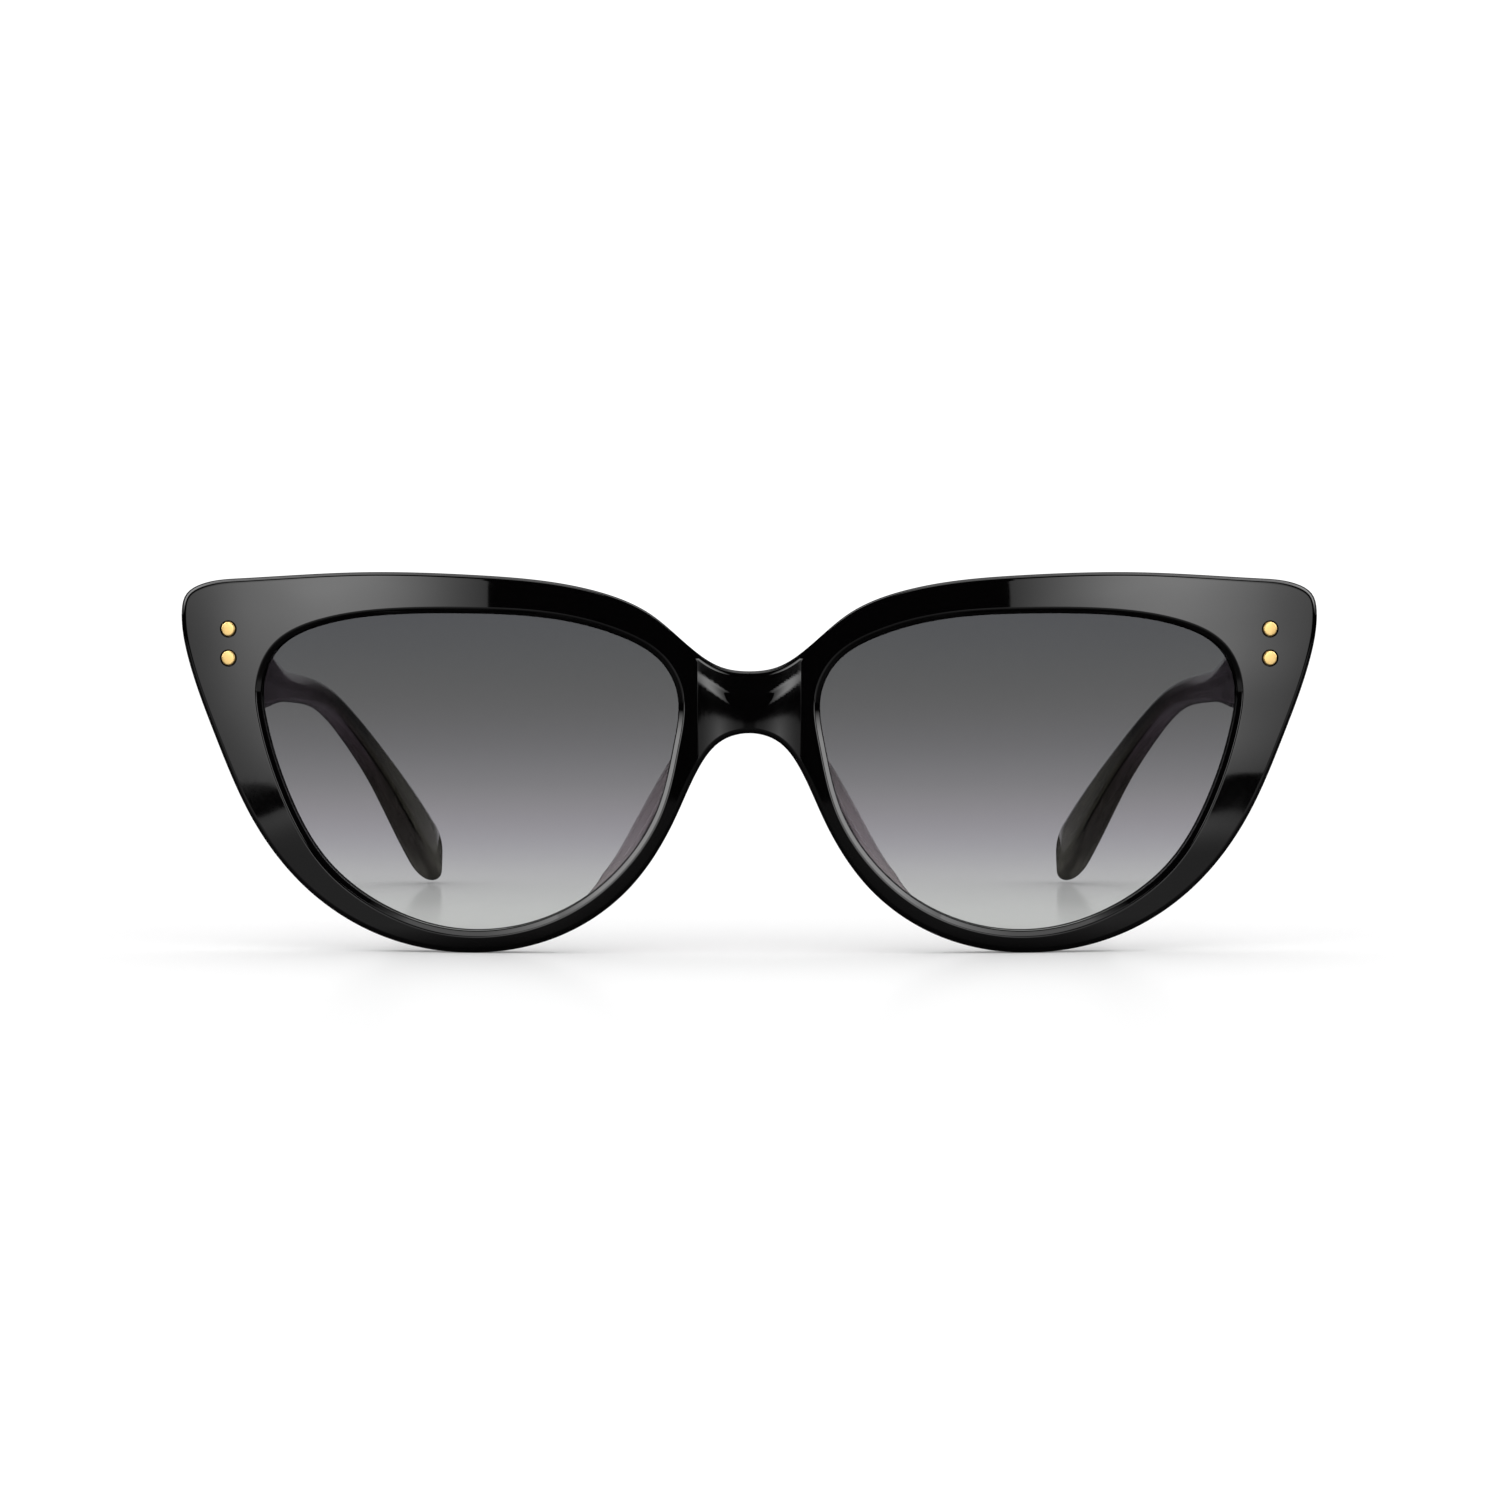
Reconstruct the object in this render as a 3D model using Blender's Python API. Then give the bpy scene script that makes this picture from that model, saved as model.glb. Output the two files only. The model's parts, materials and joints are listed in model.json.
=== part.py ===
"""Cat eye sunglasses: a bowed acetate front with two lenses and two riveted, folding temples.

The object is drawn in millimetres in its own layout: x runs across the face, y runs back from the
front towards the ears and z runs up. The finished objects are in metres.
"""
import math

import bmesh
import bpy
import numpy as np
from mathutils import Matrix, Vector
from mathutils.geometry import delaunay_2d_cdt

MM = 0.001

# Front: half of its outer outline (x, z), from the top of the bridge round to the underside of the bridge.
FRONT_OUTLINE = [
    (0.0, 35.1), (3.4, 35.6), (6.6, 37.5), (12.4, 42.3), (19.2, 45.1), (33.8, 47.0), (48.8, 47.35),
    (64.0, 46.6), (68.7, 45.95), (70.9, 44.6), (71.5, 41.9), (70.8, 37.1), (67.1, 26.6), (62.4, 16.4),
    (55.5, 7.8), (46.0, 2.0), (35.0, 0.0), (24.2, 1.9), (15.1, 7.9), (9.05, 17.1), (6.35, 22.9),
    (3.5, 26.4), (0.0, 27.4),
]
# Edge of the lens that shows from the front (x, z).
LENS_OUTLINE = [
    (9.0, 32.6), (9.4, 26.0), (11.6, 17.6), (15.8, 11.1), (21.8, 6.1), (29.5, 3.2), (37.5, 3.0),
    (45.3, 5.5), (52.8, 11.1), (57.8, 19.5), (60.7, 28.6), (61.1, 33.0), (59.3, 37.5), (53.1, 40.8),
    (44.5, 42.05), (34.8, 42.2), (24.1, 41.5), (15.6, 39.2), (11.0, 36.3),
]
OUTLINE_POINTS = 128
LENS_POINTS = 48

# Bow of the front: flat beside the bridge, then an even curve to the endpieces.
BOW_START = 7.0
BOW_RADIUS = 200.0
# The bridge arches forward between the rims, down to a crease on each side.
BRIDGE_CREASE = 6.4
BRIDGE_RADIUS = 14.0
BRIDGE_BLEND = 0.06
BRIDGE_BACK_SHARE = 0.45

FRONT_THICKNESS = 4.2
EDGE_ROUND = 0.7
RIM_CHAMFER = 0.7
RIM_BACK_CHAMFER = 0.5
GROOVE_FRONT = 1.2
GROOVE_DEPTH = 0.9
GROOVE_WIDTH = 1.8
FACE_GRID = 3.0
FACE_MARGIN = 1.1
BRIDGE_GRID_X = BRIDGE_CREASE / 4
BRIDGE_GRID_Z = (28.6, 35.0, 1.45)
SHARP_ANGLE = 35.0

LENS_GAP = 0.2
LENS_CENTRE = (35.0, 24.0)
LENS_DOME = 0.8
LENS_RINGS = 3

# Nose pads: stations along the inner side of the rim (x, z on the outline, height behind the rim).
PAD_STATIONS = [
    (4.9, 25.2, 0.5), (5.9, 23.6, 2.6), (7.4, 20.4, 5.0), (9.2, 16.6, 6.2), (11.4, 12.9, 5.6),
    (14.0, 9.3, 3.9), (17.0, 6.4, 2.0), (19.8, 4.6, 0.5),
]
PAD_SECTIONS = 13
# Outline of a pad section: shares of half the base width, of the lean, of the tip width and of the height.
PAD_SECTION = [
    (-1.0, 0.0, 0.0, 0.0), (-1.0, 0.3, 0.0, 0.3), (-1.0, 0.75, 0.0, 0.62), (0.0, 1.15, -0.5, 0.88),
    (0.0, 1.25, -0.25, 0.98), (0.0, 1.35, 0.12, 1.0), (0.0, 1.35, 0.5, 0.93), (0.0, 1.3, 0.62, 0.8),
    (1.0, 0.75, 0.0, 0.45), (1.0, 0.2, 0.0, 0.15), (1.0, 0.0, 0.0, 0.0),
]
PAD_BASE_INSET = 0.6
PAD_BASE_WIDTH = 2.3
PAD_SPLAY = 0.18
PAD_TIP_WIDTH = 1.7
PAD_THIN_BELOW = 2.5
PAD_LEAST_HEIGHT = 0.4
PAD_GAP = 0.12

# Hinge: five knuckles on a vertical screw, just inside the corner between endpiece and temple.
HINGE_X = 62.8
HINGE_Z = 38.4
HINGE_STANDOFF = 1.5
KNUCKLE_RADIUS = 1.3
KNUCKLE_HOLE = 0.78
KNUCKLE_HEIGHT = 1.42
KNUCKLE_GAP = 0.1
KNUCKLE_COUNT = 5
KNUCKLE_SIDES = 16
PLATE_THICKNESS = 0.9
PLATE_CLEARANCE = 0.12
PLATE_RECESS = 0.04
FRONT_PLATE_X = 65.2
FRONT_PLATE_SPAN = (-3.1, 2.8)
FRONT_PLATE_HEIGHT = 8.6
TEMPLE_PLATE_START = 1.36
TEMPLE_PLATE_LENGTH = 8.2
TEMPLE_PLATE_HEIGHT = 7.8
TEMPLE_PLATE_PROUD = 0.35
SCREW_RADIUS = 0.70
SCREW_HEAD_RADIUS = 1.15
SCREW_HEAD_HEIGHT = 0.6
SCREW_SLOT = (0.3, 0.25)

# Rivets: a round head that shows, on a thinner shank that ends flush in the hinge plate.
RIVET_X = 65.35
RIVET_SPACING = 3.65
RIVET_HEAD_RADIUS = 0.93
RIVET_HEAD_DEPTH = 1.5
RIVET_PROUD = 0.16
RIVET_SHANK_RADIUS = 0.6
RIVET_CLEARANCE = 0.12
RIVET_SIDES = 12
RIVET_END_GAP = 0.06
HOLE_OVERRUN = 1.0
TEMPLE_RIVET_BACK = 6.0
TEMPLE_RIVET_SPACING = 4.2

# Temple: y along it, top and bottom edge, thickness, and how round its section is (1 is fully round).
TEMPLE_STATIONS = [
    (13.0, 45.0, 33.6, 4.4, 0.50), (29.0, 42.3, 30.5, 4.3, 0.52), (45.0, 39.5, 29.1, 4.0, 0.60),
    (60.0, 36.7, 29.0, 3.7, 0.72), (72.0, 34.3, 29.4, 3.4, 0.90), (84.0, 33.0, 29.0, 3.1, 1.0),
    (96.0, 31.2, 27.4, 3.0, 1.0), (108.0, 26.8, 22.1, 3.0, 1.0), (120.0, 21.0, 14.6, 3.3, 1.0),
    (132.0, 14.6, 5.2, 4.0, 1.0), (143.2, 7.6, -3.0, 4.5, 1.0),
]
TEMPLE_X = 67.3
TEMPLE_TAPER = 0.012
TEMPLE_BEND_START = 80.0
TEMPLE_BEND_LENGTH = 10.0
TEMPLE_BEND_SLOPE = 0.28
TEMPLE_SECTIONS = 25
TEMPLE_TIP_ROUND = 3.2
TEMPLE_BUTT_GAP = 0.25

# Core wire inside each temple, in a channel that is open at the hinge end.
CORE_RADIUS = 0.65
CORE_CLEARANCE = 0.15
CORE_START = 14.6
CORE_END = 132.0
CORE_TAPER = 12.0
CORE_SECTIONS = 22
CORE_SIDES = 8

SIDES = {"left": -1, "right": 1}


def clear_scene():
    """Remove every object of the open scene."""
    for item in list(bpy.data.objects):
        bpy.data.objects.remove(item, do_unlink=True)


# ---------------------------------------------------------------- curves

def cubic_through(knots, values, closed=False):
    """Return a function for the smooth cubic curve that passes through the values at the knots."""
    knots = np.asarray(knots, float)
    values = np.asarray(values, float)
    count = len(knots)
    step = np.diff(knots)
    slope = np.diff(values, axis=0) / step[:, None]
    matrix = np.zeros((count, count))
    right = np.zeros_like(values)
    for i in range(1, count - 1):
        matrix[i, i - 1:i + 2] = step[i - 1], 2 * (step[i - 1] + step[i]), step[i]
        right[i] = 6 * (slope[i] - slope[i - 1])
    if closed:
        matrix[0, 0], matrix[0, -1] = 1, -1
        matrix[-1, 0], matrix[-1, 1] = 2 * step[0], step[0]
        matrix[-1, -2], matrix[-1, -1] = step[-1], 2 * step[-1]
        right[-1] = 6 * (slope[0] - slope[-1])
    else:
        matrix[0, 0] = matrix[-1, -1] = 1
    bend = np.linalg.solve(matrix, right)

    def at(place):
        i = int(np.clip(np.searchsorted(knots, place, side="right") - 1, 0, count - 2))
        before, after, width = place - knots[i], knots[i + 1] - place, step[i]
        return ((bend[i] * after ** 3 + bend[i + 1] * before ** 3) / (6 * width)
                + (values[i] / width - bend[i] * width / 6) * after
                + (values[i + 1] / width - bend[i + 1] * width / 6) * before)

    return at


def smooth_loop(points, count):
    """Return count evenly spaced points along the closed smooth curve through the given points."""
    ring = np.asarray(list(points) + [points[0]], float)
    knots = np.concatenate([[0], np.cumsum(np.linalg.norm(np.diff(ring, axis=0), axis=1))])
    curve = cubic_through(knots, ring, closed=True)
    dense = np.array([curve(t) for t in np.linspace(0, knots[-1], 40 * len(points) + 1)])
    travel = np.concatenate([[0], np.cumsum(np.linalg.norm(np.diff(dense, axis=0), axis=1))])
    places = np.linspace(0, travel[-1], count, endpoint=False)
    return np.stack([np.interp(places, travel, dense[:, k]) for k in range(2)], axis=1)


def outward_normals(loop):
    """Return the unit normals of a counter-clockwise closed loop, pointing out of it."""
    along = np.roll(loop, -1, axis=0) - np.roll(loop, 1, axis=0)
    normals = np.stack([along[:, 1], -along[:, 0]], axis=1)
    return normals / np.linalg.norm(normals, axis=1)[:, None]


def offset_loop(loop, distance):
    """Move a counter-clockwise loop outwards by a distance."""
    return loop + outward_normals(loop) * distance


def counter_clockwise(loop):
    """Return the loop in counter-clockwise order."""
    following = np.roll(loop, -1, axis=0)
    area = np.sum(loop[:, 0] * following[:, 1] - following[:, 0] * loop[:, 1])
    return loop if area > 0 else loop[::-1]


def inside(point, loop):
    """Tell whether a point lies inside a closed loop."""
    x, z = point
    ahead = np.roll(loop, -1, axis=0)
    crosses = (loop[:, 1] > z) != (ahead[:, 1] > z)
    rise = np.where(crosses, ahead[:, 1] - loop[:, 1], 1.0)
    reach = loop[:, 0] + (z - loop[:, 1]) / rise * (ahead[:, 0] - loop[:, 0])
    return np.count_nonzero(crosses & (x < reach)) % 2 == 1


# ---------------------------------------------------------------- surfaces of the front

def bow_depth(x):
    """Depth of the rims' front face at a distance x from the middle."""
    return max(abs(x) - BOW_START, 0.0) ** 2 / (2 * BOW_RADIUS)


def bridge_lift(x):
    """How far the bridge stands in front of the bow, with a small fillet in its crease."""
    arch = (x * x - BRIDGE_CREASE ** 2) / (2 * BRIDGE_RADIUS) - bow_depth(x)
    return -BRIDGE_BLEND * math.log1p(math.exp(min(-arch / BRIDGE_BLEND, 60.0)))


def front_depth(x):
    """Depth of the front face."""
    return bow_depth(x) + bridge_lift(x)


def back_depth(x):
    """Depth of the back face."""
    return bow_depth(x) + BRIDGE_BACK_SHARE * bridge_lift(x) + FRONT_THICKNESS


def lay_ring(loop, behind_front=None, before_back=None):
    """Place a loop of the layout at a depth counted from the front face or from the back face."""
    if before_back is None:
        return [(x, front_depth(x) + behind_front, z) for x, z in loop]
    return [(x, back_depth(x) - before_back, z) for x, z in loop]


# ---------------------------------------------------------------- mesh helpers

def make_object(name, vertices, faces, material, parent=None, origin=(0.0, 0.0, 0.0)):
    """Make one closed mesh object from millimetre vertices, with its own origin."""
    mesh = bpy.data.meshes.new(name)
    mesh.from_pydata([Vector(v) * MM for v in vertices], [], faces)
    tidy = bmesh.new()
    tidy.from_mesh(mesh)
    bmesh.ops.recalc_face_normals(tidy, faces=tidy.faces)
    tidy.to_mesh(mesh)
    tidy.free()
    mesh.transform(Matrix.Translation(-Vector(origin) * MM))
    mesh.shade_smooth()
    mesh.set_sharp_from_angle(angle=math.radians(SHARP_ANGLE))
    item = bpy.data.objects.new(name, mesh)
    bpy.context.collection.objects.link(item)
    item.data.materials.append(material)
    item.location = Vector(origin) * MM
    if parent is not None:
        item.parent = parent
        item.location = item.location - parent.location
    return item


def make_material(name, colour, roughness, metallic=0.0, alpha=1.0):
    """Make the plain shading of one sub-part."""
    material = bpy.data.materials.new(name)
    material.use_nodes = True
    shader = material.node_tree.nodes["Principled BSDF"]
    shader.inputs["Base Color"].default_value = (*colour, 1.0)
    shader.inputs["Roughness"].default_value = roughness
    shader.inputs["Metallic"].default_value = metallic
    shader.inputs["Alpha"].default_value = alpha
    return material


def bridge_rings(rings, closed_ends=True):
    """Join equal rings of points into one skin, with a fan over each end."""
    vertices = [point for ring in rings for point in ring]
    count = len(rings[0])
    faces = []
    for r in range(len(rings) - 1):
        for i in range(count):
            j = (i + 1) % count
            faces.append((r * count + i, r * count + j, (r + 1) * count + j, (r + 1) * count + i))
    if closed_ends:
        for r in (0, len(rings) - 1):
            middle = len(vertices)
            vertices.append(tuple(np.mean(rings[r], axis=0)))
            faces += [(r * count + i, r * count + (i + 1) % count, middle) for i in range(count)]
    return vertices, faces


def turned(profile, sides, place, axis):
    """Turn a profile of (radius, height) pairs about an axis through a place; both ends are closed."""
    axis = Vector(axis).normalized()
    across = axis.orthogonal().normalized()
    other = axis.cross(across)
    rings = []
    for radius, height in profile:
        centre = Vector(place) + axis * height
        ring = []
        for k in range(sides):
            angle = 2 * math.pi * (k + 0.5) / sides
            spoke = across * math.cos(angle) + other * math.sin(angle)
            ring.append(tuple(centre + spoke * radius))
        rings.append(ring)
    return bridge_rings(rings)


def prism(outline, low, high):
    """Stand a plan outline (x, y) up between two heights."""
    rings = [[(x, y, z) for x, y in outline] for z in (low, high)]
    return bridge_rings(rings)


def make_cutter(name, vertices, faces):
    """Make a wire-frame cutting body, which is not part of the object."""
    mesh = bpy.data.meshes.new(name)
    mesh.from_pydata([Vector(v) * MM for v in vertices], [], faces)
    tidy = bmesh.new()
    tidy.from_mesh(mesh)
    bmesh.ops.recalc_face_normals(tidy, faces=tidy.faces)
    tidy.to_mesh(mesh)
    tidy.free()
    item = bpy.data.objects.new(name, mesh)
    bpy.context.collection.objects.link(item)
    item.hide_render = True
    item.display_type = "WIRE"
    return item


def combine(target, other, operation, solver="EXACT"):
    """Add a Boolean with another object to a target."""
    modifier = target.modifiers.new(other.name, "BOOLEAN")
    modifier.operation = operation
    modifier.solver = solver
    modifier.object = other


def mirrored(vertices, side):
    """Return the vertices for one side of the face: as drawn on the right, mirrored on the left."""
    return [(x * side, y, z) for x, y, z in vertices]


# ---------------------------------------------------------------- front frame

def full_outline(count):
    """Outline of the whole front: the drawn half and its mirror image."""
    half = FRONT_OUTLINE
    other = [(-x, z) for x, z in reversed(half[1:-1])]
    return counter_clockwise(smooth_loop(half + other, count))


def lens_outline(side, count=LENS_POINTS):
    """Visible edge of one lens."""
    loop = smooth_loop(LENS_OUTLINE, count) * np.array([side, 1.0])
    return counter_clockwise(loop)


def outer_profile():
    """Round the front edge and the back edge of the outline: (inset, depth, counted from the back)."""
    turn = [(EDGE_ROUND * (1 - math.sin(a)), EDGE_ROUND * (1 - math.cos(a)))
            for a in (0.0, math.pi / 4, math.pi / 2)]
    front = [(inset, depth, False) for inset, depth in turn]
    back = [(inset, depth, True) for inset, depth in reversed(turn)]
    return front + back


def rim_profile():
    """Chamfer, wall, V groove and back chamfer of a rim: (offset from the opening, depth, from back)."""
    return [
        (RIM_CHAMFER, 0.0, False),
        (0.0, RIM_CHAMFER, False),
        (0.0, GROOVE_FRONT, False),
        (GROOVE_DEPTH, GROOVE_FRONT + GROOVE_WIDTH / 2, False),
        (0.0, GROOVE_FRONT + GROOVE_WIDTH, False),
        (0.0, RIM_BACK_CHAMFER, True),
        (RIM_BACK_CHAMFER, 0.0, True),
    ]


def face_points(edge, holes):
    """Grid points on the front: a coarse grid, and a finer one over the bridge."""
    limit = offset_loop(edge, -FACE_MARGIN)
    keep_out = [offset_loop(hole, FACE_MARGIN) for hole in holes]
    reach = max(x for x, z in FRONT_OUTLINE)
    top = max(z for x, z in FRONT_OUTLINE)
    columns = [x for x in np.arange(FACE_GRID, reach, FACE_GRID) if x > 1.4 * BRIDGE_CREASE]
    rows = np.arange(FACE_GRID / 2, top, FACE_GRID)
    grid = [(side * x, z) for side in (-1, 1) for x in columns for z in rows]
    grid += [(k * BRIDGE_GRID_X, z) for k in range(-5, 6) for z in np.arange(*BRIDGE_GRID_Z)]
    return [p for p in grid if inside(p, limit) and not any(inside(p, hole) for hole in keep_out)]


def fill_face(edge, holes):
    """Triangulate a face between its edge and its holes; return the extra points and the triangles."""
    extra = face_points(edge, holes)
    points = [Vector(p) for p in edge]
    edges = [(i, (i + 1) % len(edge)) for i in range(len(edge))]
    for hole in holes:
        first = len(points)
        points += [Vector(p) for p in hole]
        edges += [(first + i, first + (i + 1) % len(hole)) for i in range(len(hole))]
    points += [Vector(p) for p in extra]
    result = delaunay_2d_cdt(points, edges, [], 1, 1e-6)
    source = [origin[0] for origin in result[3]]
    triangles = []
    for face in result[2]:
        middle = sum((result[0][v] for v in face), Vector((0.0, 0.0))) / 3
        if not any(inside(middle, hole) for hole in holes):
            triangles.append(tuple(source[v] for v in face))
    return extra, triangles


def build_front(material):
    """Front frame: both rims, the bridge and the endpieces in one piece of acetate."""
    outline = full_outline(OUTLINE_POINTS)
    openings = [lens_outline(side) for side in (-1, 1)]
    vertices = []
    faces = []

    def add_wall(loop, profile, sign):
        first = len(vertices)
        for offset, depth, from_back in profile:
            ring = offset_loop(loop, sign * offset)
            if from_back:
                vertices.extend(lay_ring(ring, before_back=depth))
            else:
                vertices.extend(lay_ring(ring, behind_front=depth))
        count = len(loop)
        for r in range(len(profile) - 1):
            for i in range(count):
                j = (i + 1) % count
                low = first + r * count
                faces.append((low + i, low + j, low + count + j, low + count + i))
        return first, first + (len(profile) - 1) * count

    outer = outer_profile()
    rim = rim_profile()
    walls = [add_wall(outline, outer, -1)] + [add_wall(loop, rim, 1) for loop in openings]
    sizes = [len(outline)] + [len(loop) for loop in openings]
    for end, place in ((0, front_depth), (1, back_depth)):
        edge = offset_loop(outline, -outer[-end][0])
        holes = [offset_loop(loop, rim[-end][0]) for loop in openings]
        extra, triangles = fill_face(edge, holes)
        index = [start + i for (start, size) in zip([w[end] for w in walls], sizes) for i in range(size)]
        index += [len(vertices) + i for i in range(len(extra))]
        vertices += [(x, place(x), z) for x, z in extra]
        faces += [tuple(index[v] for v in triangle) for triangle in triangles]

    front = make_object("front_frame", vertices, faces, material)
    for name, side in SIDES.items():
        plan = plate_plan(PLATE_CLEARANCE, HOLE_OVERRUN)
        pocket = prism(plan, *plate_heights(FRONT_PLATE_HEIGHT, PLATE_CLEARANCE))
        drill(front, f"plate_pocket_{name}", side, pocket)
        for level, height in rivet_heights(RIVET_SPACING):
            drill(front, f"front_rivet_{level}_{name}", side, front_rivet_body(height, hole=True))
    return front


# ---------------------------------------------------------------- lenses and nose pads

def build_lens(name, side, material):
    """Lens with a V edge that sits in the rim's groove, domed a little towards the front."""
    loop = lens_outline(side)
    centre = np.array([LENS_CENTRE[0] * side, LENS_CENTRE[1]])
    flat = offset_loop(loop, -LENS_GAP)
    apex = offset_loop(loop, GROOVE_DEPTH - LENS_GAP)

    def face_rings(depth):
        found = []
        for k in range(LENS_RINGS, 0, -1):
            share = k / LENS_RINGS
            ring = centre + (flat - centre) * share
            found.append(lay_ring(ring, behind_front=depth - LENS_DOME * (1 - share ** 2)))
        return found

    front = face_rings(GROOVE_FRONT)
    back = face_rings(GROOVE_FRONT + GROOVE_WIDTH)
    rings = front[::-1] + [lay_ring(apex, behind_front=GROOVE_FRONT + GROOVE_WIDTH / 2)] + back
    vertices, faces = bridge_rings(rings, closed_ends=False)
    count = len(loop)
    for ring, depth in ((0, GROOVE_FRONT), (len(rings) - 1, GROOVE_FRONT + GROOVE_WIDTH)):
        middle = len(vertices)
        vertices.append((centre[0], front_depth(centre[0]) + depth - LENS_DOME, centre[1]))
        faces += [(ring * count + i, ring * count + (i + 1) % count, middle) for i in range(count)]
    return make_object(f"lens_{name}", vertices, faces, material)


def build_nose_pad(name, side, material):
    """Nose pad: a curved fin glued behind the inner side of the rim, leaning away from the nose."""
    stations = np.array(PAD_STATIONS)
    travel = np.concatenate([[0], np.cumsum(np.linalg.norm(np.diff(stations[:, :2], axis=0), axis=1))])
    curve = cubic_through(travel, stations)
    rings = []
    for k in range(PAD_SECTIONS):
        place = travel[-1] * k / (PAD_SECTIONS - 1)
        x, z, height = curve(place)
        ahead = curve(min(place + 0.1, travel[-1]))[:2] - curve(max(place - 0.1, 0))[:2]
        inward = np.array([-ahead[1], ahead[0]]) / np.linalg.norm(ahead)
        height = max(height, PAD_LEAST_HEIGHT)
        swell = min(height / PAD_THIN_BELOW, 1.0)
        base = PAD_BASE_WIDTH / 2 * swell
        lean = PAD_SPLAY * height
        tip = PAD_TIP_WIDTH * swell
        middle = PAD_BASE_INSET + PAD_BASE_WIDTH / 2
        ring = []
        for of_base, of_lean, of_tip, of_height in PAD_SECTION:
            across = middle + of_base * base + of_lean * lean + of_tip * tip
            px, pz = np.array([x, z]) + inward * across
            ring.append((px, back_depth(px) + PAD_GAP + of_height * height, pz))
        rings.append(ring)
    vertices, faces = bridge_rings(rings)
    return make_object(f"nose_pad_{name}", mirrored(vertices, side), faces, material)


# ---------------------------------------------------------------- hinge

def axis_place():
    """Plan position of the hinge screw, drawn on the right."""
    tilt = HINGE_STANDOFF / math.cos(math.atan(bow_slope(HINGE_X)))
    return HINGE_X, back_depth(HINGE_X) + tilt


def bow_slope(x):
    """Slope of the bow in plan."""
    return (x - BOW_START) / BOW_RADIUS


def endpiece_point(along, behind):
    """Plan point near the endpiece, along its back face and behind it, from the middle of the plate."""
    slope = bow_slope(FRONT_PLATE_X)
    length = math.hypot(1.0, slope)
    x = FRONT_PLATE_X + (along - behind * slope) / length
    y = back_depth(FRONT_PLATE_X) + (along * slope + behind) / length
    return x, y


def plate_plan(clearance=0.0, mouth=0.0):
    """Plan of the front hinge plate, let into the back face, or of its pocket with an open mouth."""
    low, high = FRONT_PLATE_SPAN
    floor = -PLATE_RECESS - PLATE_THICKNESS - clearance
    back = mouth if mouth else -PLATE_RECESS
    corners = [(low - clearance, floor), (high + clearance, floor), (high + clearance, back),
               (low - clearance, back)]
    return [endpiece_point(along, behind) for along, behind in corners]


def plate_heights(height, clearance=0.0):
    """Lowest and highest level of a hinge plate."""
    return HINGE_Z - height / 2 - clearance, HINGE_Z + height / 2 + clearance


def knuckle_levels():
    """Lowest and highest level of each knuckle, from the bottom."""
    pitch = KNUCKLE_HEIGHT + KNUCKLE_GAP
    start = HINGE_Z - (KNUCKLE_COUNT * pitch - KNUCKLE_GAP) / 2
    return [(start + k * pitch, start + k * pitch + KNUCKLE_HEIGHT) for k in range(KNUCKLE_COUNT)]


def knuckle_plan(foot):
    """Plan of a knuckle: a round eye that runs over into its foot, given about the screw."""
    ax, ay = axis_place()
    first, last = Vector(foot[0]), Vector(foot[-1])
    start = math.atan2(last.y, last.x)
    sweep = (math.atan2(first.y, first.x) - start) % (2 * math.pi)
    steps = KNUCKLE_SIDES - 2
    eye = [(KNUCKLE_RADIUS * math.cos(start + sweep * k / steps),
            KNUCKLE_RADIUS * math.sin(start + sweep * k / steps)) for k in range(1, steps)]
    return [(ax + x, ay + y) for x, y in list(foot) + eye]


def rivet_heights(spacing):
    """Levels of the upper and the lower rivet."""
    return [("upper", HINGE_Z + spacing / 2), ("lower", HINGE_Z - spacing / 2)]


def rivet_profile(length):
    """Profile of a rivet: domed head, step and shank, as (radius, depth) pairs."""
    crown = [(RIVET_HEAD_RADIUS * math.sin(a), -RIVET_PROUD * math.cos(a)) for a in (0.35, 0.8, 1.25)]
    return crown + [(RIVET_HEAD_RADIUS, 0.05), (RIVET_HEAD_RADIUS, RIVET_HEAD_DEPTH),
                    (RIVET_SHANK_RADIUS, RIVET_HEAD_DEPTH), (RIVET_SHANK_RADIUS, length)]


def rivet_hole_profile(length):
    """Profile of the stepped hole around a rivet, running past both of its ends."""
    head = RIVET_HEAD_RADIUS + RIVET_CLEARANCE
    shank = RIVET_SHANK_RADIUS + RIVET_CLEARANCE
    step = RIVET_HEAD_DEPTH + RIVET_CLEARANCE
    return [(head, -HOLE_OVERRUN), (head, step), (shank, step), (shank, length + HOLE_OVERRUN)]


def front_rivet_body(level, hole=False):
    """Front rivet or its hole, square to the bowed face, drawn on the right."""
    slope = bow_slope(RIVET_X)
    length = FRONT_THICKNESS * math.cos(math.atan(slope)) - RIVET_END_GAP
    profile = rivet_hole_profile(length) if hole else rivet_profile(length)
    return turned(profile, RIVET_SIDES, (RIVET_X, front_depth(RIVET_X), level), (-slope, 1.0, 0.0))


def temple_rivet_body(level, hole=False):
    """Temple rivet or its hole, from the outer face through to the hinge plate, drawn on the right."""
    y = axis_place()[1] + TEMPLE_RIVET_BACK
    outer = temple_middle(y) + temple_at(y)[2] / 2
    length = outer - temple_plate_x() - RIVET_END_GAP
    profile = rivet_hole_profile(length) if hole else rivet_profile(length)
    return turned(profile, RIVET_SIDES, (outer, y, level), (-1.0, 0.0, 0.0))


def drill(target, name, side, body, solver="EXACT"):
    """Cut a body, drawn on the right, out of a target on one side."""
    combine(target, make_cutter(f"cut_{name}", mirrored(body[0], side), body[1]), "DIFFERENCE", solver)


def join(target, name, side, body):
    """Weld a body to a target. The exact solver drops the slanted front leaf, so leaves use MANIFOLD."""
    combine(target, make_cutter(f"add_{name}", mirrored(body[0], side), body[1]), "UNION", "MANIFOLD")


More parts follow.
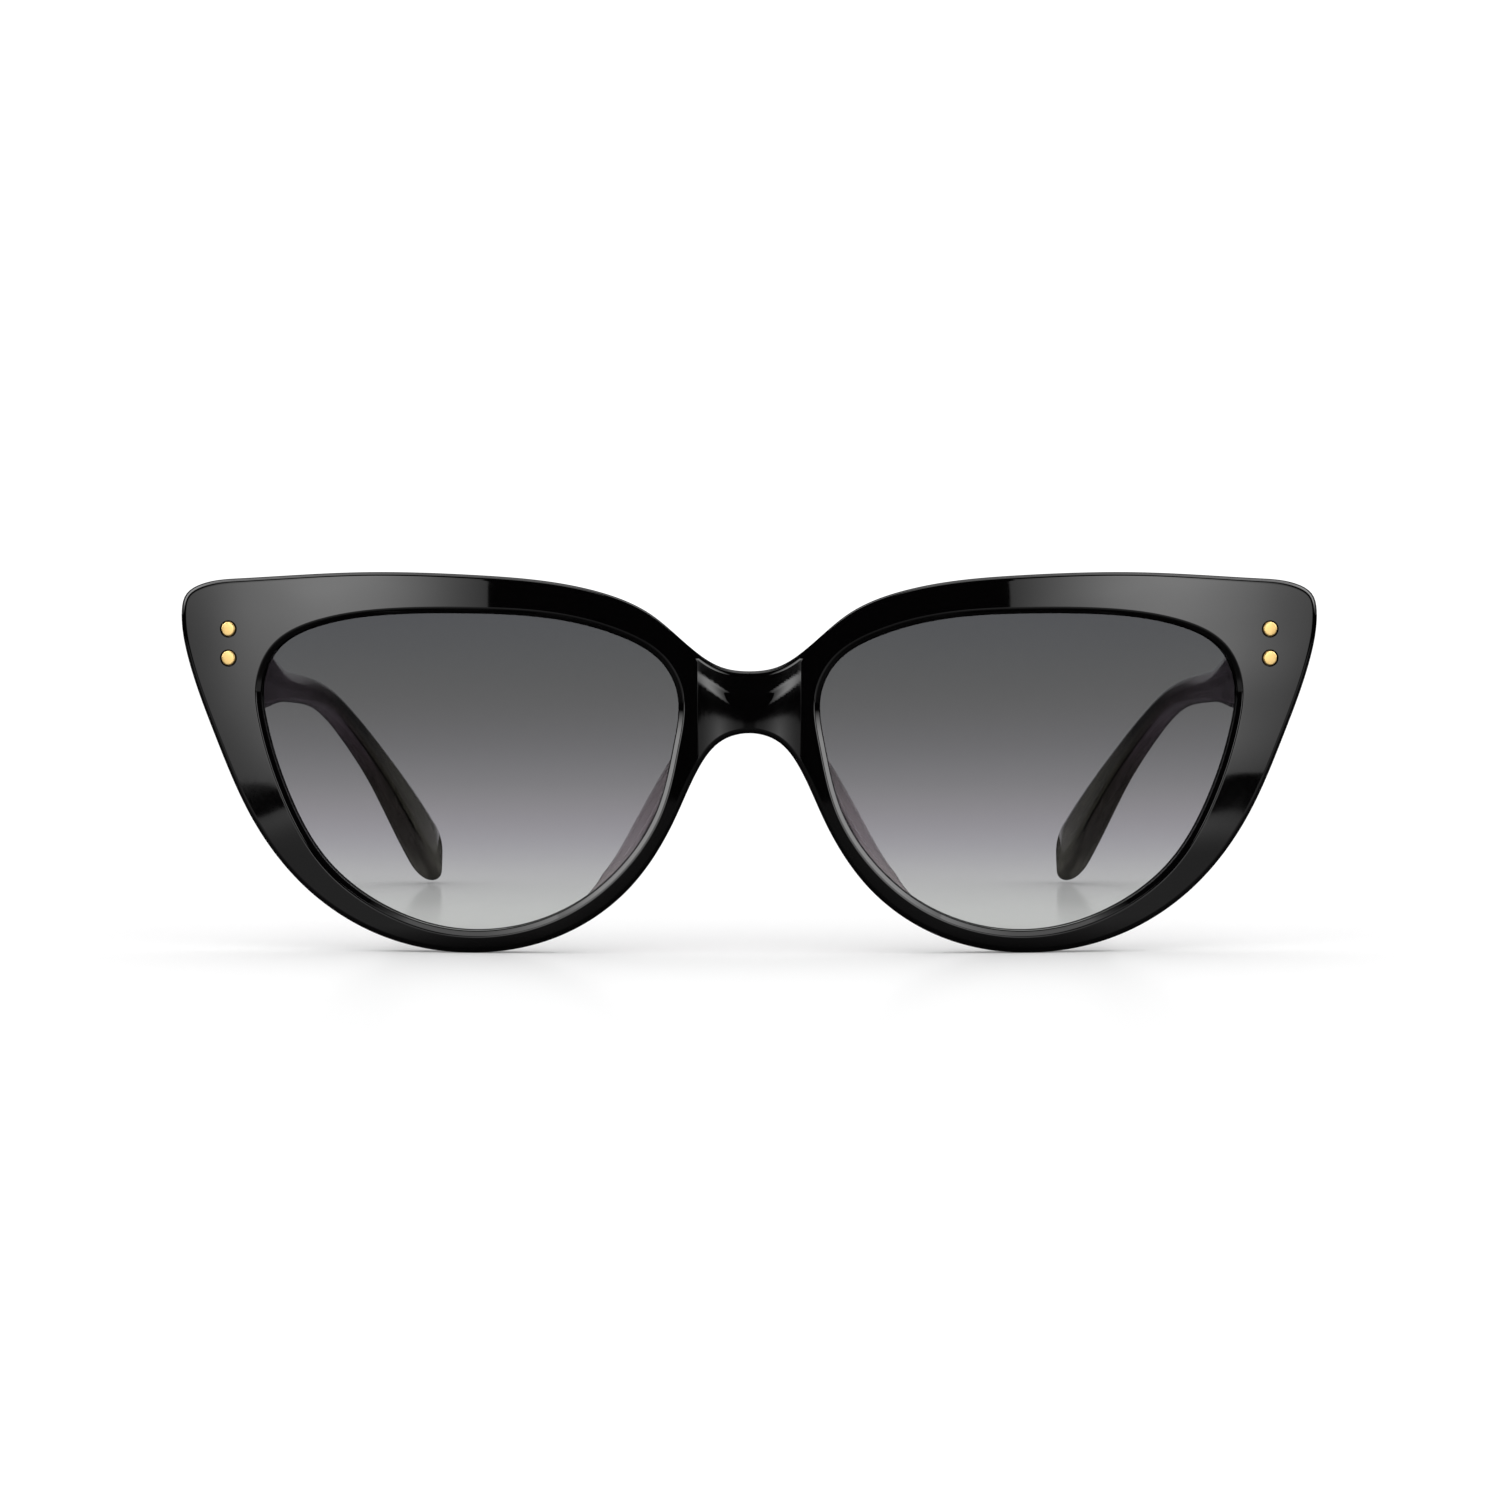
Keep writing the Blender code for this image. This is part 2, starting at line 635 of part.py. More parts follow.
def build_front_leaf(name, side, material):
    """Fixed hinge leaf: a plate let into the endpiece, with the first, third and fifth knuckle."""
    plate = prism(plate_plan(), *plate_heights(FRONT_PLATE_HEIGHT))
    leaf = make_object(f"hinge_front_leaf_{name}", mirrored(plate[0], side), plate[1], material)
    slope = math.atan(bow_slope(FRONT_PLATE_X))
    turn = Matrix.Rotation(slope, 2)
    corners = [(0.0, -KNUCKLE_RADIUS), (0.35, -HINGE_STANDOFF - 0.4), (-0.9, -HINGE_STANDOFF - 0.4),
               (-KNUCKLE_RADIUS, 0.0)]
    foot = [tuple(turn @ Vector(c)) for c in reversed(corners)]
    for k, (low, high) in enumerate(knuckle_levels()):
        if k % 2 == 0:
            join(leaf, f"front_knuckle_{k}_{name}", side, prism(knuckle_plan(foot), low, high))
    drill_leaf(leaf, f"front_{name}", side)
    for level, height in rivet_heights(RIVET_SPACING):
        drill(leaf, f"front_leaf_{level}_{name}", side, front_rivet_body(height, hole=True), "MANIFOLD")
    return leaf


def build_temple_leaf(name, side, material, pivot):
    """Moving hinge leaf: a plate let into the temple, with the second and fourth knuckle."""
    ax, ay = axis_place()
    inner = temple_plate_x()
    outline = [(inner, ay + TEMPLE_PLATE_START), (inner + PLATE_THICKNESS, ay + TEMPLE_PLATE_START),
               (inner + PLATE_THICKNESS, ay + TEMPLE_PLATE_START + TEMPLE_PLATE_LENGTH),
               (inner, ay + TEMPLE_PLATE_START + TEMPLE_PLATE_LENGTH)]
    plate = prism(outline, *plate_heights(TEMPLE_PLATE_HEIGHT))
    leaf = make_object(f"hinge_temple_leaf_{name}", mirrored(plate[0], side), plate[1], material,
                       pivot, pivot_place(side))
    reach = inner - ax
    foot = [(0.3, -1.1), (reach + 0.5, TEMPLE_PLATE_START + 0.2), (reach + 0.5, TEMPLE_PLATE_START + 2.0),
            (0.0, KNUCKLE_RADIUS)]
    for k, (low, high) in enumerate(knuckle_levels()):
        if k % 2 == 1:
            join(leaf, f"temple_knuckle_{k}_{name}", side, prism(knuckle_plan(foot), low, high))
    drill_leaf(leaf, f"temple_{name}", side)
    for level, height in rivet_heights(TEMPLE_RIVET_SPACING):
        drill(leaf, f"temple_leaf_{level}_{name}", side, temple_rivet_body(height, hole=True), "MANIFOLD")
    return leaf


def drill_leaf(leaf, name, side):
    """Drill the screw hole through all knuckles of a leaf."""
    low = knuckle_levels()[0][0] - HOLE_OVERRUN
    high = knuckle_levels()[-1][1] + HOLE_OVERRUN
    profile = [(KNUCKLE_HOLE, low), (KNUCKLE_HOLE, high)]
    ax, ay = axis_place()
    hole = turned(profile, KNUCKLE_SIDES, (ax, ay, 0.0), (0.0, 0.0, 1.0))
    drill(leaf, f"screw_hole_{name}", side, hole, "MANIFOLD")


def build_screw(name, side, material):
    """Hinge screw: a slotted head on a plain shank down through the five knuckles."""
    low = knuckle_levels()[0][0] - 0.25
    seat = knuckle_levels()[-1][1] + KNUCKLE_GAP
    top = seat + SCREW_HEAD_HEIGHT
    profile = [(SCREW_RADIUS * 0.7, low), (SCREW_RADIUS, low + 0.25), (SCREW_RADIUS, seat),
               (SCREW_HEAD_RADIUS, seat), (SCREW_HEAD_RADIUS, top - 0.2), (SCREW_HEAD_RADIUS - 0.2, top)]
    ax, ay = axis_place()
    body = turned(profile, KNUCKLE_SIDES, (ax, ay, 0.0), (0.0, 0.0, 1.0))
    screw = make_object(f"hinge_screw_{name}", mirrored(body[0], side), body[1], material)
    width, depth = SCREW_SLOT
    slot = prism([(ax - 2, ay - width / 2), (ax + 2, ay - width / 2), (ax + 2, ay + width / 2),
                  (ax - 2, ay + width / 2)], top - depth, top + 1)
    drill(screw, f"screw_slot_{name}", side, slot)
    return screw


# ---------------------------------------------------------------- temples

def temple_middle(y):
    """Plan position of the temple's middle: nearly straight, then bent in behind the ear."""
    reach = (y - TEMPLE_BEND_START) / TEMPLE_BEND_LENGTH
    bend = TEMPLE_BEND_LENGTH * math.log1p(math.exp(reach))
    return TEMPLE_X - TEMPLE_TAPER * (y - TEMPLE_STATIONS[0][0]) - TEMPLE_BEND_SLOPE * bend


TEMPLE_CURVE = cubic_through([row[0] for row in TEMPLE_STATIONS], [row[1:] for row in TEMPLE_STATIONS])


def temple_at(y):
    """Level, upright height, thickness and roundness of the temple at a depth."""
    top, bottom, thickness, roundness = TEMPLE_CURVE(y)
    return (top + bottom) / 2, top - bottom, thickness, min(max(roundness, 0.0), 1.0)


def temple_plate_x():
    """Inner side of the temple's hinge plate, which stands a little proud of the temple."""
    y = axis_place()[1] + TEMPLE_RIVET_BACK
    return temple_middle(y) - temple_at(y)[2] / 2 - TEMPLE_PLATE_PROUD


def temple_frame(y):
    """Middle of the temple at a depth, and its unit directions across and up."""
    step = 0.5
    ahead, behind = [np.array([temple_middle(v), v, temple_at(v)[0]]) for v in (y + step, y - step)]
    along = (ahead - behind) / np.linalg.norm(ahead - behind)
    across = np.array([1.0, 0.0, 0.0])
    across = across - along * across.dot(along)
    across = across / np.linalg.norm(across)
    return np.array([temple_middle(y), y, temple_at(y)[0]]), across, np.cross(across, along)


def rounded_section(width, height, roundness, per_corner=4):
    """Rounded rectangle of points about its middle."""
    radius = roundness * min(width, height) / 2
    points = []
    for quarter, (sx, sz) in enumerate(((1, 1), (-1, 1), (-1, -1), (1, -1))):
        for k in range(per_corner):
            angle = math.pi / 2 * (quarter + k / (per_corner - 1))
            points.append((sx * (width / 2 - radius) + radius * math.cos(angle),
                           sz * (height / 2 - radius) + radius * math.sin(angle)))
    return points


def temple_ring(y, shrink=1.0):
    """Section of the temple, square to its run."""
    middle, across, up = temple_frame(y)
    height, thickness, roundness = temple_at(y)[1:]
    upright = max(abs(up[2]), 0.5)
    section = rounded_section(thickness * shrink, height * upright * shrink, roundness)
    return [tuple(middle + across * a + up * b) for a, b in section]


def butt_ring():
    """Front end of the temple, mitred to lie just behind the endpiece."""
    y = TEMPLE_STATIONS[0][0]
    level, height, thickness, roundness = temple_at(y)
    section = rounded_section(thickness, height, roundness)
    return [(temple_middle(y) + a, back_depth(temple_middle(y) + a) + TEMPLE_BUTT_GAP, level + b)
            for a, b in section]


def temple_rings():
    """All sections of a temple, from the butt to the rounded tip."""
    start = back_depth(TEMPLE_X) + 3.0
    end = TEMPLE_STATIONS[-1][0]
    rings = [butt_ring()]
    rings += [temple_ring(y) for y in np.linspace(start, end - TEMPLE_TIP_ROUND, TEMPLE_SECTIONS)]
    for angle in (30, 55, 75):
        reach = math.sin(math.radians(angle))
        rings.append(temple_ring(end - TEMPLE_TIP_ROUND * (1 - reach), math.cos(math.radians(angle))))
    return rings


def wire_body(radius, overrun=0.0, point=0.0):
    """Round wire along the middle of the temple; its last stretch can taper to a point."""
    rings = []
    for y in np.linspace(CORE_START, CORE_END, CORE_SECTIONS):
        middle, across, up = temple_frame(y)
        slim = 1.0 - point * max(0.0, (y - CORE_END + CORE_TAPER) / CORE_TAPER)
        ring = []
        for k in range(CORE_SIDES):
            angle = 2 * math.pi * (k + 0.5) / CORE_SIDES
            ring.append(middle + (across * math.cos(angle) + up * math.sin(angle)) * radius * slim)
        rings.append(np.array(ring))
    if overrun:
        rings[0] = rings[0] + (rings[0] - rings[1]) * overrun
        rings[-1] = rings[-1] + (rings[-1] - rings[-2]) * overrun / 10
    return bridge_rings([[tuple(p) for p in ring] for ring in rings])


def pivot_place(side):
    """World place of a hinge axis, in millimetres."""
    ax, ay = axis_place()
    return ax * side, ay, HINGE_Z


def build_temple(name, side, material, pivot):
    """Temple: a tall blade at the hinge that narrows to a slim arm with a dropped, rounded tip."""
    vertices, faces = bridge_rings(temple_rings())
    temple = make_object(f"temple_{name}", mirrored(vertices, side), faces, material, pivot,
                         pivot_place(side))
    drill(temple, f"core_channel_{name}", side, wire_body(CORE_RADIUS + CORE_CLEARANCE, overrun=1.0))
    ax, ay = axis_place()
    inner = temple_plate_x()
    low = ay - 4.0
    high = ay + TEMPLE_PLATE_START + TEMPLE_PLATE_LENGTH + PLATE_CLEARANCE
    pocket = prism([(inner - 2, low), (inner + PLATE_THICKNESS + PLATE_CLEARANCE, low),
                    (inner + PLATE_THICKNESS + PLATE_CLEARANCE, high), (inner - 2, high)],
                   *plate_heights(TEMPLE_PLATE_HEIGHT, PLATE_CLEARANCE))
    drill(temple, f"temple_pocket_{name}", side, pocket)
    for level, height in rivet_heights(TEMPLE_RIVET_SPACING):
        drill(temple, f"temple_rivet_{level}_{name}", side, temple_rivet_body(height, hole=True))
    return temple


def build_core(name, side, material, pivot):
    """Core wire that stiffens the temple."""
    vertices, faces = wire_body(CORE_RADIUS, point=0.4)
    return make_object(f"temple_core_{name}", mirrored(vertices, side), faces, material, pivot,
                       pivot_place(side))


# ---------------------------------------------------------------- assembly

def make_pivot(name, side):
    """Empty on a hinge axis, which carries all that folds with one temple."""
    pivot = bpy.data.objects.new(f"fold_axis_{name}", None)
    bpy.context.collection.objects.link(pivot)
    pivot.location = Vector(pivot_place(side)) * MM
    return pivot


def seat_on_origin():
    """Move the whole object so that the middle of its footprint is the origin."""
    bpy.context.view_layer.update()
    corners = []
    for item in bpy.data.objects:
        if item.type == "MESH" and not item.hide_render:
            corners += [item.matrix_world @ Vector(corner) for corner in item.bound_box]
    low = Vector([min(c[k] for c in corners) for k in range(3)])
    high = Vector([max(c[k] for c in corners) for k in range(3)])
    shift = Vector(((low.x + high.x) / -2, (low.y + high.y) / -2, -low.z))
    for item in bpy.data.objects:
        if item.parent is None:
            item.location += shift


def build_all():
    """Build every sub-part of the sunglasses."""
    clear_scene()
    acetate = make_material("black_acetate", (0.012, 0.012, 0.012), 0.12)
    horn = make_material("smoky_acetate", (0.10, 0.10, 0.09), 0.18)
    pad = make_material("pad_acetate", (0.35, 0.30, 0.29), 0.15)
    tint = make_material("grey_tint", (0.10, 0.10, 0.11), 0.03, alpha=0.45)
    gold = make_material("gold_plate", (0.90, 0.62, 0.22), 0.22, metallic=1.0)
    steel = make_material("hinge_metal", (0.62, 0.62, 0.60), 0.30, metallic=1.0)
    screw = make_material("screw_metal", (0.68, 0.68, 0.66), 0.22, metallic=1.0)
    wire = make_material("core_metal", (0.45, 0.45, 0.43), 0.38, metallic=1.0)

    build_front(acetate)
    for name, side in SIDES.items():
        pivot = make_pivot(name, side)
        build_lens(name, side, tint)
        build_nose_pad(name, side, pad)
        build_front_leaf(name, side, steel)
        build_screw(name, side, screw)
        build_temple(name, side, horn, pivot)
        build_core(name, side, wire, pivot)
        build_temple_leaf(name, side, steel, pivot)
        for level, height in rivet_heights(RIVET_SPACING):
            vertices, faces = front_rivet_body(height)
            make_object(f"front_rivet_{level}_{name}", mirrored(vertices, side), faces, gold)
        for level, height in rivet_heights(TEMPLE_RIVET_SPACING):
            vertices, faces = temple_rivet_body(height)
            make_object(f"temple_rivet_{level}_{name}", mirrored(vertices, side), faces, gold, pivot,
                        pivot_place(side))
    seat_on_origin()


build_all()
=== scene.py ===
"""Looks of the cat eye sunglasses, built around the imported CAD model.

Shapes are drawn in millimetres in the design layout (x across the face, y back from the front, z up)
and moved to the row frame in metres by the place of the right-hand hinge axis.
"""

import json
import math

import bmesh
import bpy
import numpy as np
from mathutils import Matrix, Vector
from mathutils.geometry import delaunay_2d_cdt


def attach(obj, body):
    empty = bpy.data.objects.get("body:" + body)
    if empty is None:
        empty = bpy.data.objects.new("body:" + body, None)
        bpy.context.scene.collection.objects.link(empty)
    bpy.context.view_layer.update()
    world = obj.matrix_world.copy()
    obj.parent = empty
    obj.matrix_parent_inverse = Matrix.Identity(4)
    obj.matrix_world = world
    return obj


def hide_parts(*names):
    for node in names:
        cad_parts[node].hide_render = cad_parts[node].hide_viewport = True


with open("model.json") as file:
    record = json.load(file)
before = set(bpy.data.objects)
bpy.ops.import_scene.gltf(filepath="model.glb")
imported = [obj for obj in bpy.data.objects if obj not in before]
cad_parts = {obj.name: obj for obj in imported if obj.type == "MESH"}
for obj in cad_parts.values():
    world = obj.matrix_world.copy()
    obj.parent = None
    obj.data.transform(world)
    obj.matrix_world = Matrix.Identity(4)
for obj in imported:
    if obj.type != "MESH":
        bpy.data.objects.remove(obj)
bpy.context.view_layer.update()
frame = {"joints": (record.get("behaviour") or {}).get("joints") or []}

MM = 0.001

# ---------------------------------------------------------------- dimensions shared with the CAD model

FRONT_OUTLINE = [
    (0.0, 35.1), (3.4, 35.6), (6.6, 37.5), (12.4, 42.3), (19.2, 45.1), (33.8, 47.0), (48.8, 47.35),
    (64.0, 46.6), (68.7, 45.95), (70.9, 44.6), (71.5, 41.9), (70.8, 37.1), (67.1, 26.6), (62.4, 16.4),
    (55.5, 7.8), (46.0, 2.0), (35.0, 0.0), (24.2, 1.9), (15.1, 7.9), (9.05, 17.1), (6.35, 22.9),
    (3.5, 26.4), (0.0, 27.4),
]
LENS_OUTLINE = [
    (9.0, 32.6), (9.4, 26.0), (11.6, 17.6), (15.8, 11.1), (21.8, 6.1), (29.5, 3.2), (37.5, 3.0),
    (45.3, 5.5), (52.8, 11.1), (57.8, 19.5), (60.7, 28.6), (61.1, 33.0), (59.3, 37.5), (53.1, 40.8),
    (44.5, 42.05), (34.8, 42.2), (24.1, 41.5), (15.6, 39.2), (11.0, 36.3),
]
BOW_START = 7.0
BOW_RADIUS = 200.0
BRIDGE_CREASE = 6.4
BRIDGE_RADIUS = 14.0
BRIDGE_BLEND = 0.003
LARGEST_EXPONENT = 60.0
BRIDGE_BACK_SHARE = 0.45
# Hand-finished face of the bridge: how much it leans (in radians, positive looks up) by the height above
# a line that falls from the creases to the middle.
BRIDGE_TILTS = [
    (-12.0, -0.033), (-5.5, -0.032), (-4.0, -0.0305), (-3.0, -0.029), (-1.5, -0.0254), (-0.9, -0.0227),
    (-0.15, -0.0227), (0.1, 0.035), (0.7, 0.07), (1.0, 0.06), (1.25, -0.0227), (12.0, -0.0227),
]
BRIDGE_MIDDLE = 31.0
BRIDGE_ROUNDING = 0.002
BRIDGE_LINE = (30.3, 0.767, 2.0)
BRIDGE_RELIEF_ZERO = -1.5
FRONT_THICKNESS = 4.2
EDGE_ROUND = 0.7
RIM_CHAMFER = 0.7
RIM_BACK_CHAMFER = 0.5
GROOVE_FRONT = 1.2
GROOVE_DEPTH = 0.9
GROOVE_WIDTH = 1.8
RIM_CORNER_ROUND = [0.4, 0.5, 0.0, 0.0, 0.0, 0.3, 0.4]
RIM_FRONT_MARGIN = 0.25
RIM_BACK_MARGIN = 0.2
OUTLINE_MARGIN = 0.02
SEAM = 0.01
# Rounded mouth of a pocket: how far each ring is widened, its depth and how far it has turned inwards.
POCKET_MOUTH = [(0.05, 0.0, 0.0), (0.015, 0.015, 0.7), (0.0, 0.05, 1.0)]

LENS_GAP = 0.2
LENS_CENTRE = (35.0, 24.0)
LENS_DOME = 0.8

PAD_STATIONS = [
    (4.9, 25.2, 0.5), (5.9, 23.6, 2.6), (7.4, 20.4, 5.0), (9.2, 16.6, 6.2), (11.4, 12.9, 5.6),
    (14.0, 9.3, 3.9), (17.0, 6.4, 2.0), (19.8, 4.6, 0.5),
]
PAD_SECTION = [
    (-1.0, 0.0, 0.0, 0.0), (-1.0, 0.3, 0.0, 0.3), (-1.0, 0.75, 0.0, 0.62), (0.0, 1.15, -0.5, 0.88),
    (0.0, 1.25, -0.25, 0.98), (0.0, 1.35, 0.12, 1.0), (0.0, 1.35, 0.5, 0.93), (0.0, 1.3, 0.62, 0.8),
    (1.0, 0.75, 0.0, 0.45), (1.0, 0.2, 0.0, 0.15), (1.0, 0.0, 0.0, 0.0),
]
PAD_BASE_INSET = 0.6
PAD_BASE_WIDTH = 2.3
PAD_SPLAY = 0.18
PAD_TIP_WIDTH = 1.7
PAD_THIN_BELOW = 2.5
PAD_LEAST_HEIGHT = 0.4
PAD_STANDOFF = 0.024
PAD_STEP = 0.1

HINGE_X = 62.8
HINGE_Z = 38.4
HINGE_STANDOFF = 1.5
KNUCKLE_RADIUS = 1.3
KNUCKLE_HOLE = 0.78
KNUCKLE_HEIGHT = 1.42
KNUCKLE_GAP = 0.1
KNUCKLE_COUNT = 5
PLATE_THICKNESS = 0.9
PLATE_CLEARANCE = 0.12
PLATE_RECESS = 0.04
FRONT_PLATE_X = 65.2
FRONT_PLATE_SPAN = (-3.1, 2.8)
FRONT_PLATE_HEIGHT = 8.6
TEMPLE_PLATE_START = 1.36
TEMPLE_PLATE_LENGTH = 8.2
TEMPLE_PLATE_HEIGHT = 7.8
TEMPLE_PLATE_PROUD = 0.35
SCREW_RADIUS = 0.70
SCREW_HEAD_RADIUS = 1.15
SCREW_HEAD_HEIGHT = 0.6
SCREW_HEAD_EDGE = 0.25
SCREW_SEAT_EDGE = 0.05
SCREW_TAIL = 0.25
SCREW_TAIL_SHARE = 0.7
SCREW_SLOT = (0.3, 0.25)
SCREW_SLOT_REACH = 2.0
HINGE_EDGE = 0.07
PLATE_CORNER = 0.9
FRONT_FOOT_SPAN = (-0.9, 0.35)
FRONT_FOOT_SINK = 0.4
TEMPLE_FOOT_SIDE = (0.3, -1.1)
TEMPLE_FOOT_SPAN = (0.2, 2.0)
TEMPLE_FOOT_SINK = 0.5

RIVET_X = 65.35
RIVET_SPACING = 3.65
RIVET_HEAD_RADIUS = 0.93
RIVET_HEAD_DEPTH = 1.5
RIVET_PROUD = 0.16
RIVET_HEAD_EDGE = 0.2
RIVET_CROWN = 0.02
RIVET_RIM = 0.12
RIVET_TAIL_EDGE = 0.05
RIVET_SHANK_RADIUS = 0.6
RIVET_CLEARANCE = 0.12
RIVET_END_GAP = 0.06
RIVET_HOLE = (0.3, 9.0)
TEMPLE_RIVET_BACK = 6.0
TEMPLE_RIVET_SPACING = 4.2

TEMPLE_STATIONS = [
    (13.0, 45.0, 33.6, 4.4, 0.50), (29.0, 42.3, 30.5, 4.3, 0.52), (45.0, 39.5, 29.1, 4.0, 0.60),
    (60.0, 36.7, 29.0, 3.7, 0.72), (72.0, 34.3, 29.4, 3.4, 0.80), (84.0, 33.0, 29.0, 3.1, 0.84),
    (96.0, 31.2, 27.4, 3.0, 0.84), (108.0, 26.8, 22.1, 3.0, 0.80), (120.0, 21.0, 14.6, 3.3, 0.78),
    (132.0, 14.6, 5.2, 4.0, 0.85), (143.2, 7.6, -3.0, 4.5, 1.0),
]
TEMPLE_X = 67.3
TEMPLE_TAPER = 0.012
TEMPLE_BEND_START = 80.0
TEMPLE_BEND_LENGTH = 10.0
TEMPLE_BEND_SLOPE = 0.28
TEMPLE_TIP_ROUND = 6.5
TEMPLE_TIP_POWER = 2.2
TEMPLE_TIP_DROOP = 0.3
TEMPLE_BUTT_GAP = 0.25
# Rounded front end of the temple: how far each ring is inset and how far it lies behind the first.
TEMPLE_BUTT = [(0.22, 0.0), (0.06, 0.06), (0.0, 0.22)]
TEMPLE_BLADE_START = 3.0
CORE_RADIUS = 0.65
CORE_START = 14.6
CORE_END = 132.0
CORE_TAPER = 12.0
CORE_SLIMMING = 0.4

# ---------------------------------------------------------------- fineness of the visual meshes

OUTLINE_POINTS = 640
LENS_POINTS = 320
LENS_RINGS = 28
FACE_GRID = 1.6
BRIDGE_GRID = 0.22
CREASE_GRID = 0.02
GRID_FOOT = 0.8
BRIDGE_LEVELS = (24.0, 38.0)
BESIDE_BRIDGE_FOOT = 20.0
BRIDGE_EDGE_ROOM = 0.18
FACE_EDGE_ROOM = 0.35
ROUND_STEPS = 7
TEMPLE_RINGS = 150
TIP_RINGS = 16
TIP_LAST_ANGLE = 88.5
TEMPLE_CORNER_STEPS = 8
KNUCKLE_SIDES = 40
RIVET_SIDES = 48
WIRE_SIDES = 16
PAD_RINGS = 60
PAD_SIDES = 41
CORE_RINGS = 120
POCKET_SIDES = 40
BOX_CORNER_STEPS = 6
DENSE_STEPS = 120
QUARTER_TURNS = [math.radians(a) for a in (0, 22.5, 45, 67.5, 90)]

SIDES = {"left": -1, "right": 1}


# ---------------------------------------------------------------- curves

def cubic_through(knots, values, closed=False):
    """Return a function for the smooth cubic curve that passes through the values at the knots."""
    knots = np.asarray(knots, float)
    values = np.asarray(values, float)
    count = len(knots)
    step = np.diff(knots)
    slope = np.diff(values, axis=0) / step[:, None]
    matrix = np.zeros((count, count))
    right = np.zeros_like(values)
    for i in range(1, count - 1):
        matrix[i, i - 1:i + 2] = step[i - 1], 2 * (step[i - 1] + step[i]), step[i]
        right[i] = 6 * (slope[i] - slope[i - 1])
    if closed:
        matrix[0, 0], matrix[0, -1] = 1, -1
        matrix[-1, 0], matrix[-1, 1] = 2 * step[0], step[0]
        matrix[-1, -2], matrix[-1, -1] = step[-1], 2 * step[-1]
        right[-1] = 6 * (slope[0] - slope[-1])
    else:
        matrix[0, 0] = matrix[-1, -1] = 1
    bend = np.linalg.solve(matrix, right)

    def at(place):
        i = int(np.clip(np.searchsorted(knots, place, side="right") - 1, 0, count - 2))
        before, after, width = place - knots[i], knots[i + 1] - place, step[i]
        return ((bend[i] * after ** 3 + bend[i + 1] * before ** 3) / (6 * width)
                + (values[i] / width - bend[i] * width / 6) * after
                + (values[i + 1] / width - bend[i + 1] * width / 6) * before)

    return at


def smooth_loop(points, count):
    """Return count evenly spaced points along the closed smooth curve through the given points."""
    ring = np.asarray(list(points) + [points[0]], float)
    knots = np.concatenate([[0], np.cumsum(np.linalg.norm(np.diff(ring, axis=0), axis=1))])
    curve = cubic_through(knots, ring, closed=True)
    dense = np.array([curve(t) for t in np.linspace(0, knots[-1], DENSE_STEPS * len(points) + 1)])
    travel = np.concatenate([[0], np.cumsum(np.linalg.norm(np.diff(dense, axis=0), axis=1))])
    places = np.linspace(0, travel[-1], count, endpoint=False)
    return np.stack([np.interp(places, travel, dense[:, k]) for k in range(2)], axis=1)


def angles(count, start=0.0):
    """Evenly spaced angles round a circle."""
    return [2 * math.pi * (k + start) / count for k in range(count)]


def outward_normals(loop):
    """Return the unit normals of a counter-clockwise closed loop, pointing out of it."""
    along = np.roll(loop, -1, axis=0) - np.roll(loop, 1, axis=0)
    normals = np.stack([along[:, 1], -along[:, 0]], axis=1)
    return normals / np.linalg.norm(normals, axis=1)[:, None]


def counter_clockwise(loop):
    """Return the loop in counter-clockwise order."""
    following = np.roll(loop, -1, axis=0)
    area = np.sum(loop[:, 0] * following[:, 1] - following[:, 0] * loop[:, 1])
    return loop if area > 0 else loop[::-1]


def inside(points, loop):
    """Tell for each point whether it lies inside a closed loop."""
    points = np.atleast_2d(points)
    ahead = np.roll(loop, -1, axis=0)
    z = points[:, 1][:, None]
    crosses = (loop[:, 1] > z) != (ahead[:, 1] > z)
    rise = np.where(crosses, ahead[:, 1] - loop[:, 1], 1.0)
    reach = loop[:, 0] + (z - loop[:, 1]) / rise * (ahead[:, 0] - loop[:, 0])
    return np.count_nonzero(crosses & (points[:, 0][:, None] < reach), axis=1) % 2 == 1


def rounded_path(corners, radii, steps):
    """Round the inner corners of a path; return (offset, depth, normal offset, normal depth) rows."""
    points = [np.asarray(c[:2], float) for c in corners]
    ways = [(b - a) / np.linalg.norm(b - a) for a, b in zip(points, points[1:])]
    rows = [(*points[0], -ways[0][1], ways[0][0])]
    for i in range(1, len(points) - 1):
        before, after = ways[i - 1], ways[i]
        turn = math.acos(float(np.clip(before.dot(after), -1, 1)))
        radius = radii[i - 1]
        if radius <= 0 or turn < 1e-6:
            rows.append((*points[i], 0.0, 0.0))
            continue
        reach = radius * math.tan(turn / 2)
        start_normal = np.array([-before[1], before[0]])
        end_normal = np.array([-after[1], after[0]])
        hand = math.copysign(1.0, before[0] * after[1] - before[1] * after[0])
        centre = points[i] - before * reach + start_normal * radius * hand
        for k in range(steps + 1):
            share = k / steps
            normal = start_normal * math.sin(turn * (1 - share)) + end_normal * math.sin(turn * share)
            normal = normal / np.linalg.norm(normal)
            rows.append((*(centre - normal * radius * hand), *normal))
    rows.append((*points[-1], -ways[-1][1], ways[-1][0]))
    return rows


# ---------------------------------------------------------------- surfaces of the front

def bow_depth(x):
    """Depth of the rims' front face at a distance x from the middle."""
    return max(abs(x) - BOW_START, 0.0) ** 2 / (2 * BOW_RADIUS)


def bow_slope(x):
    """Slope of the bow in plan."""
    return math.copysign(max(abs(x) - BOW_START, 0.0) / BOW_RADIUS, x)


def bridge_arch(x):
    """Depth of the bridge's arch below the bow, before the fillet in its crease."""
    return (x * x - BRIDGE_CREASE ** 2) / (2 * BRIDGE_RADIUS) - bow_depth(x)


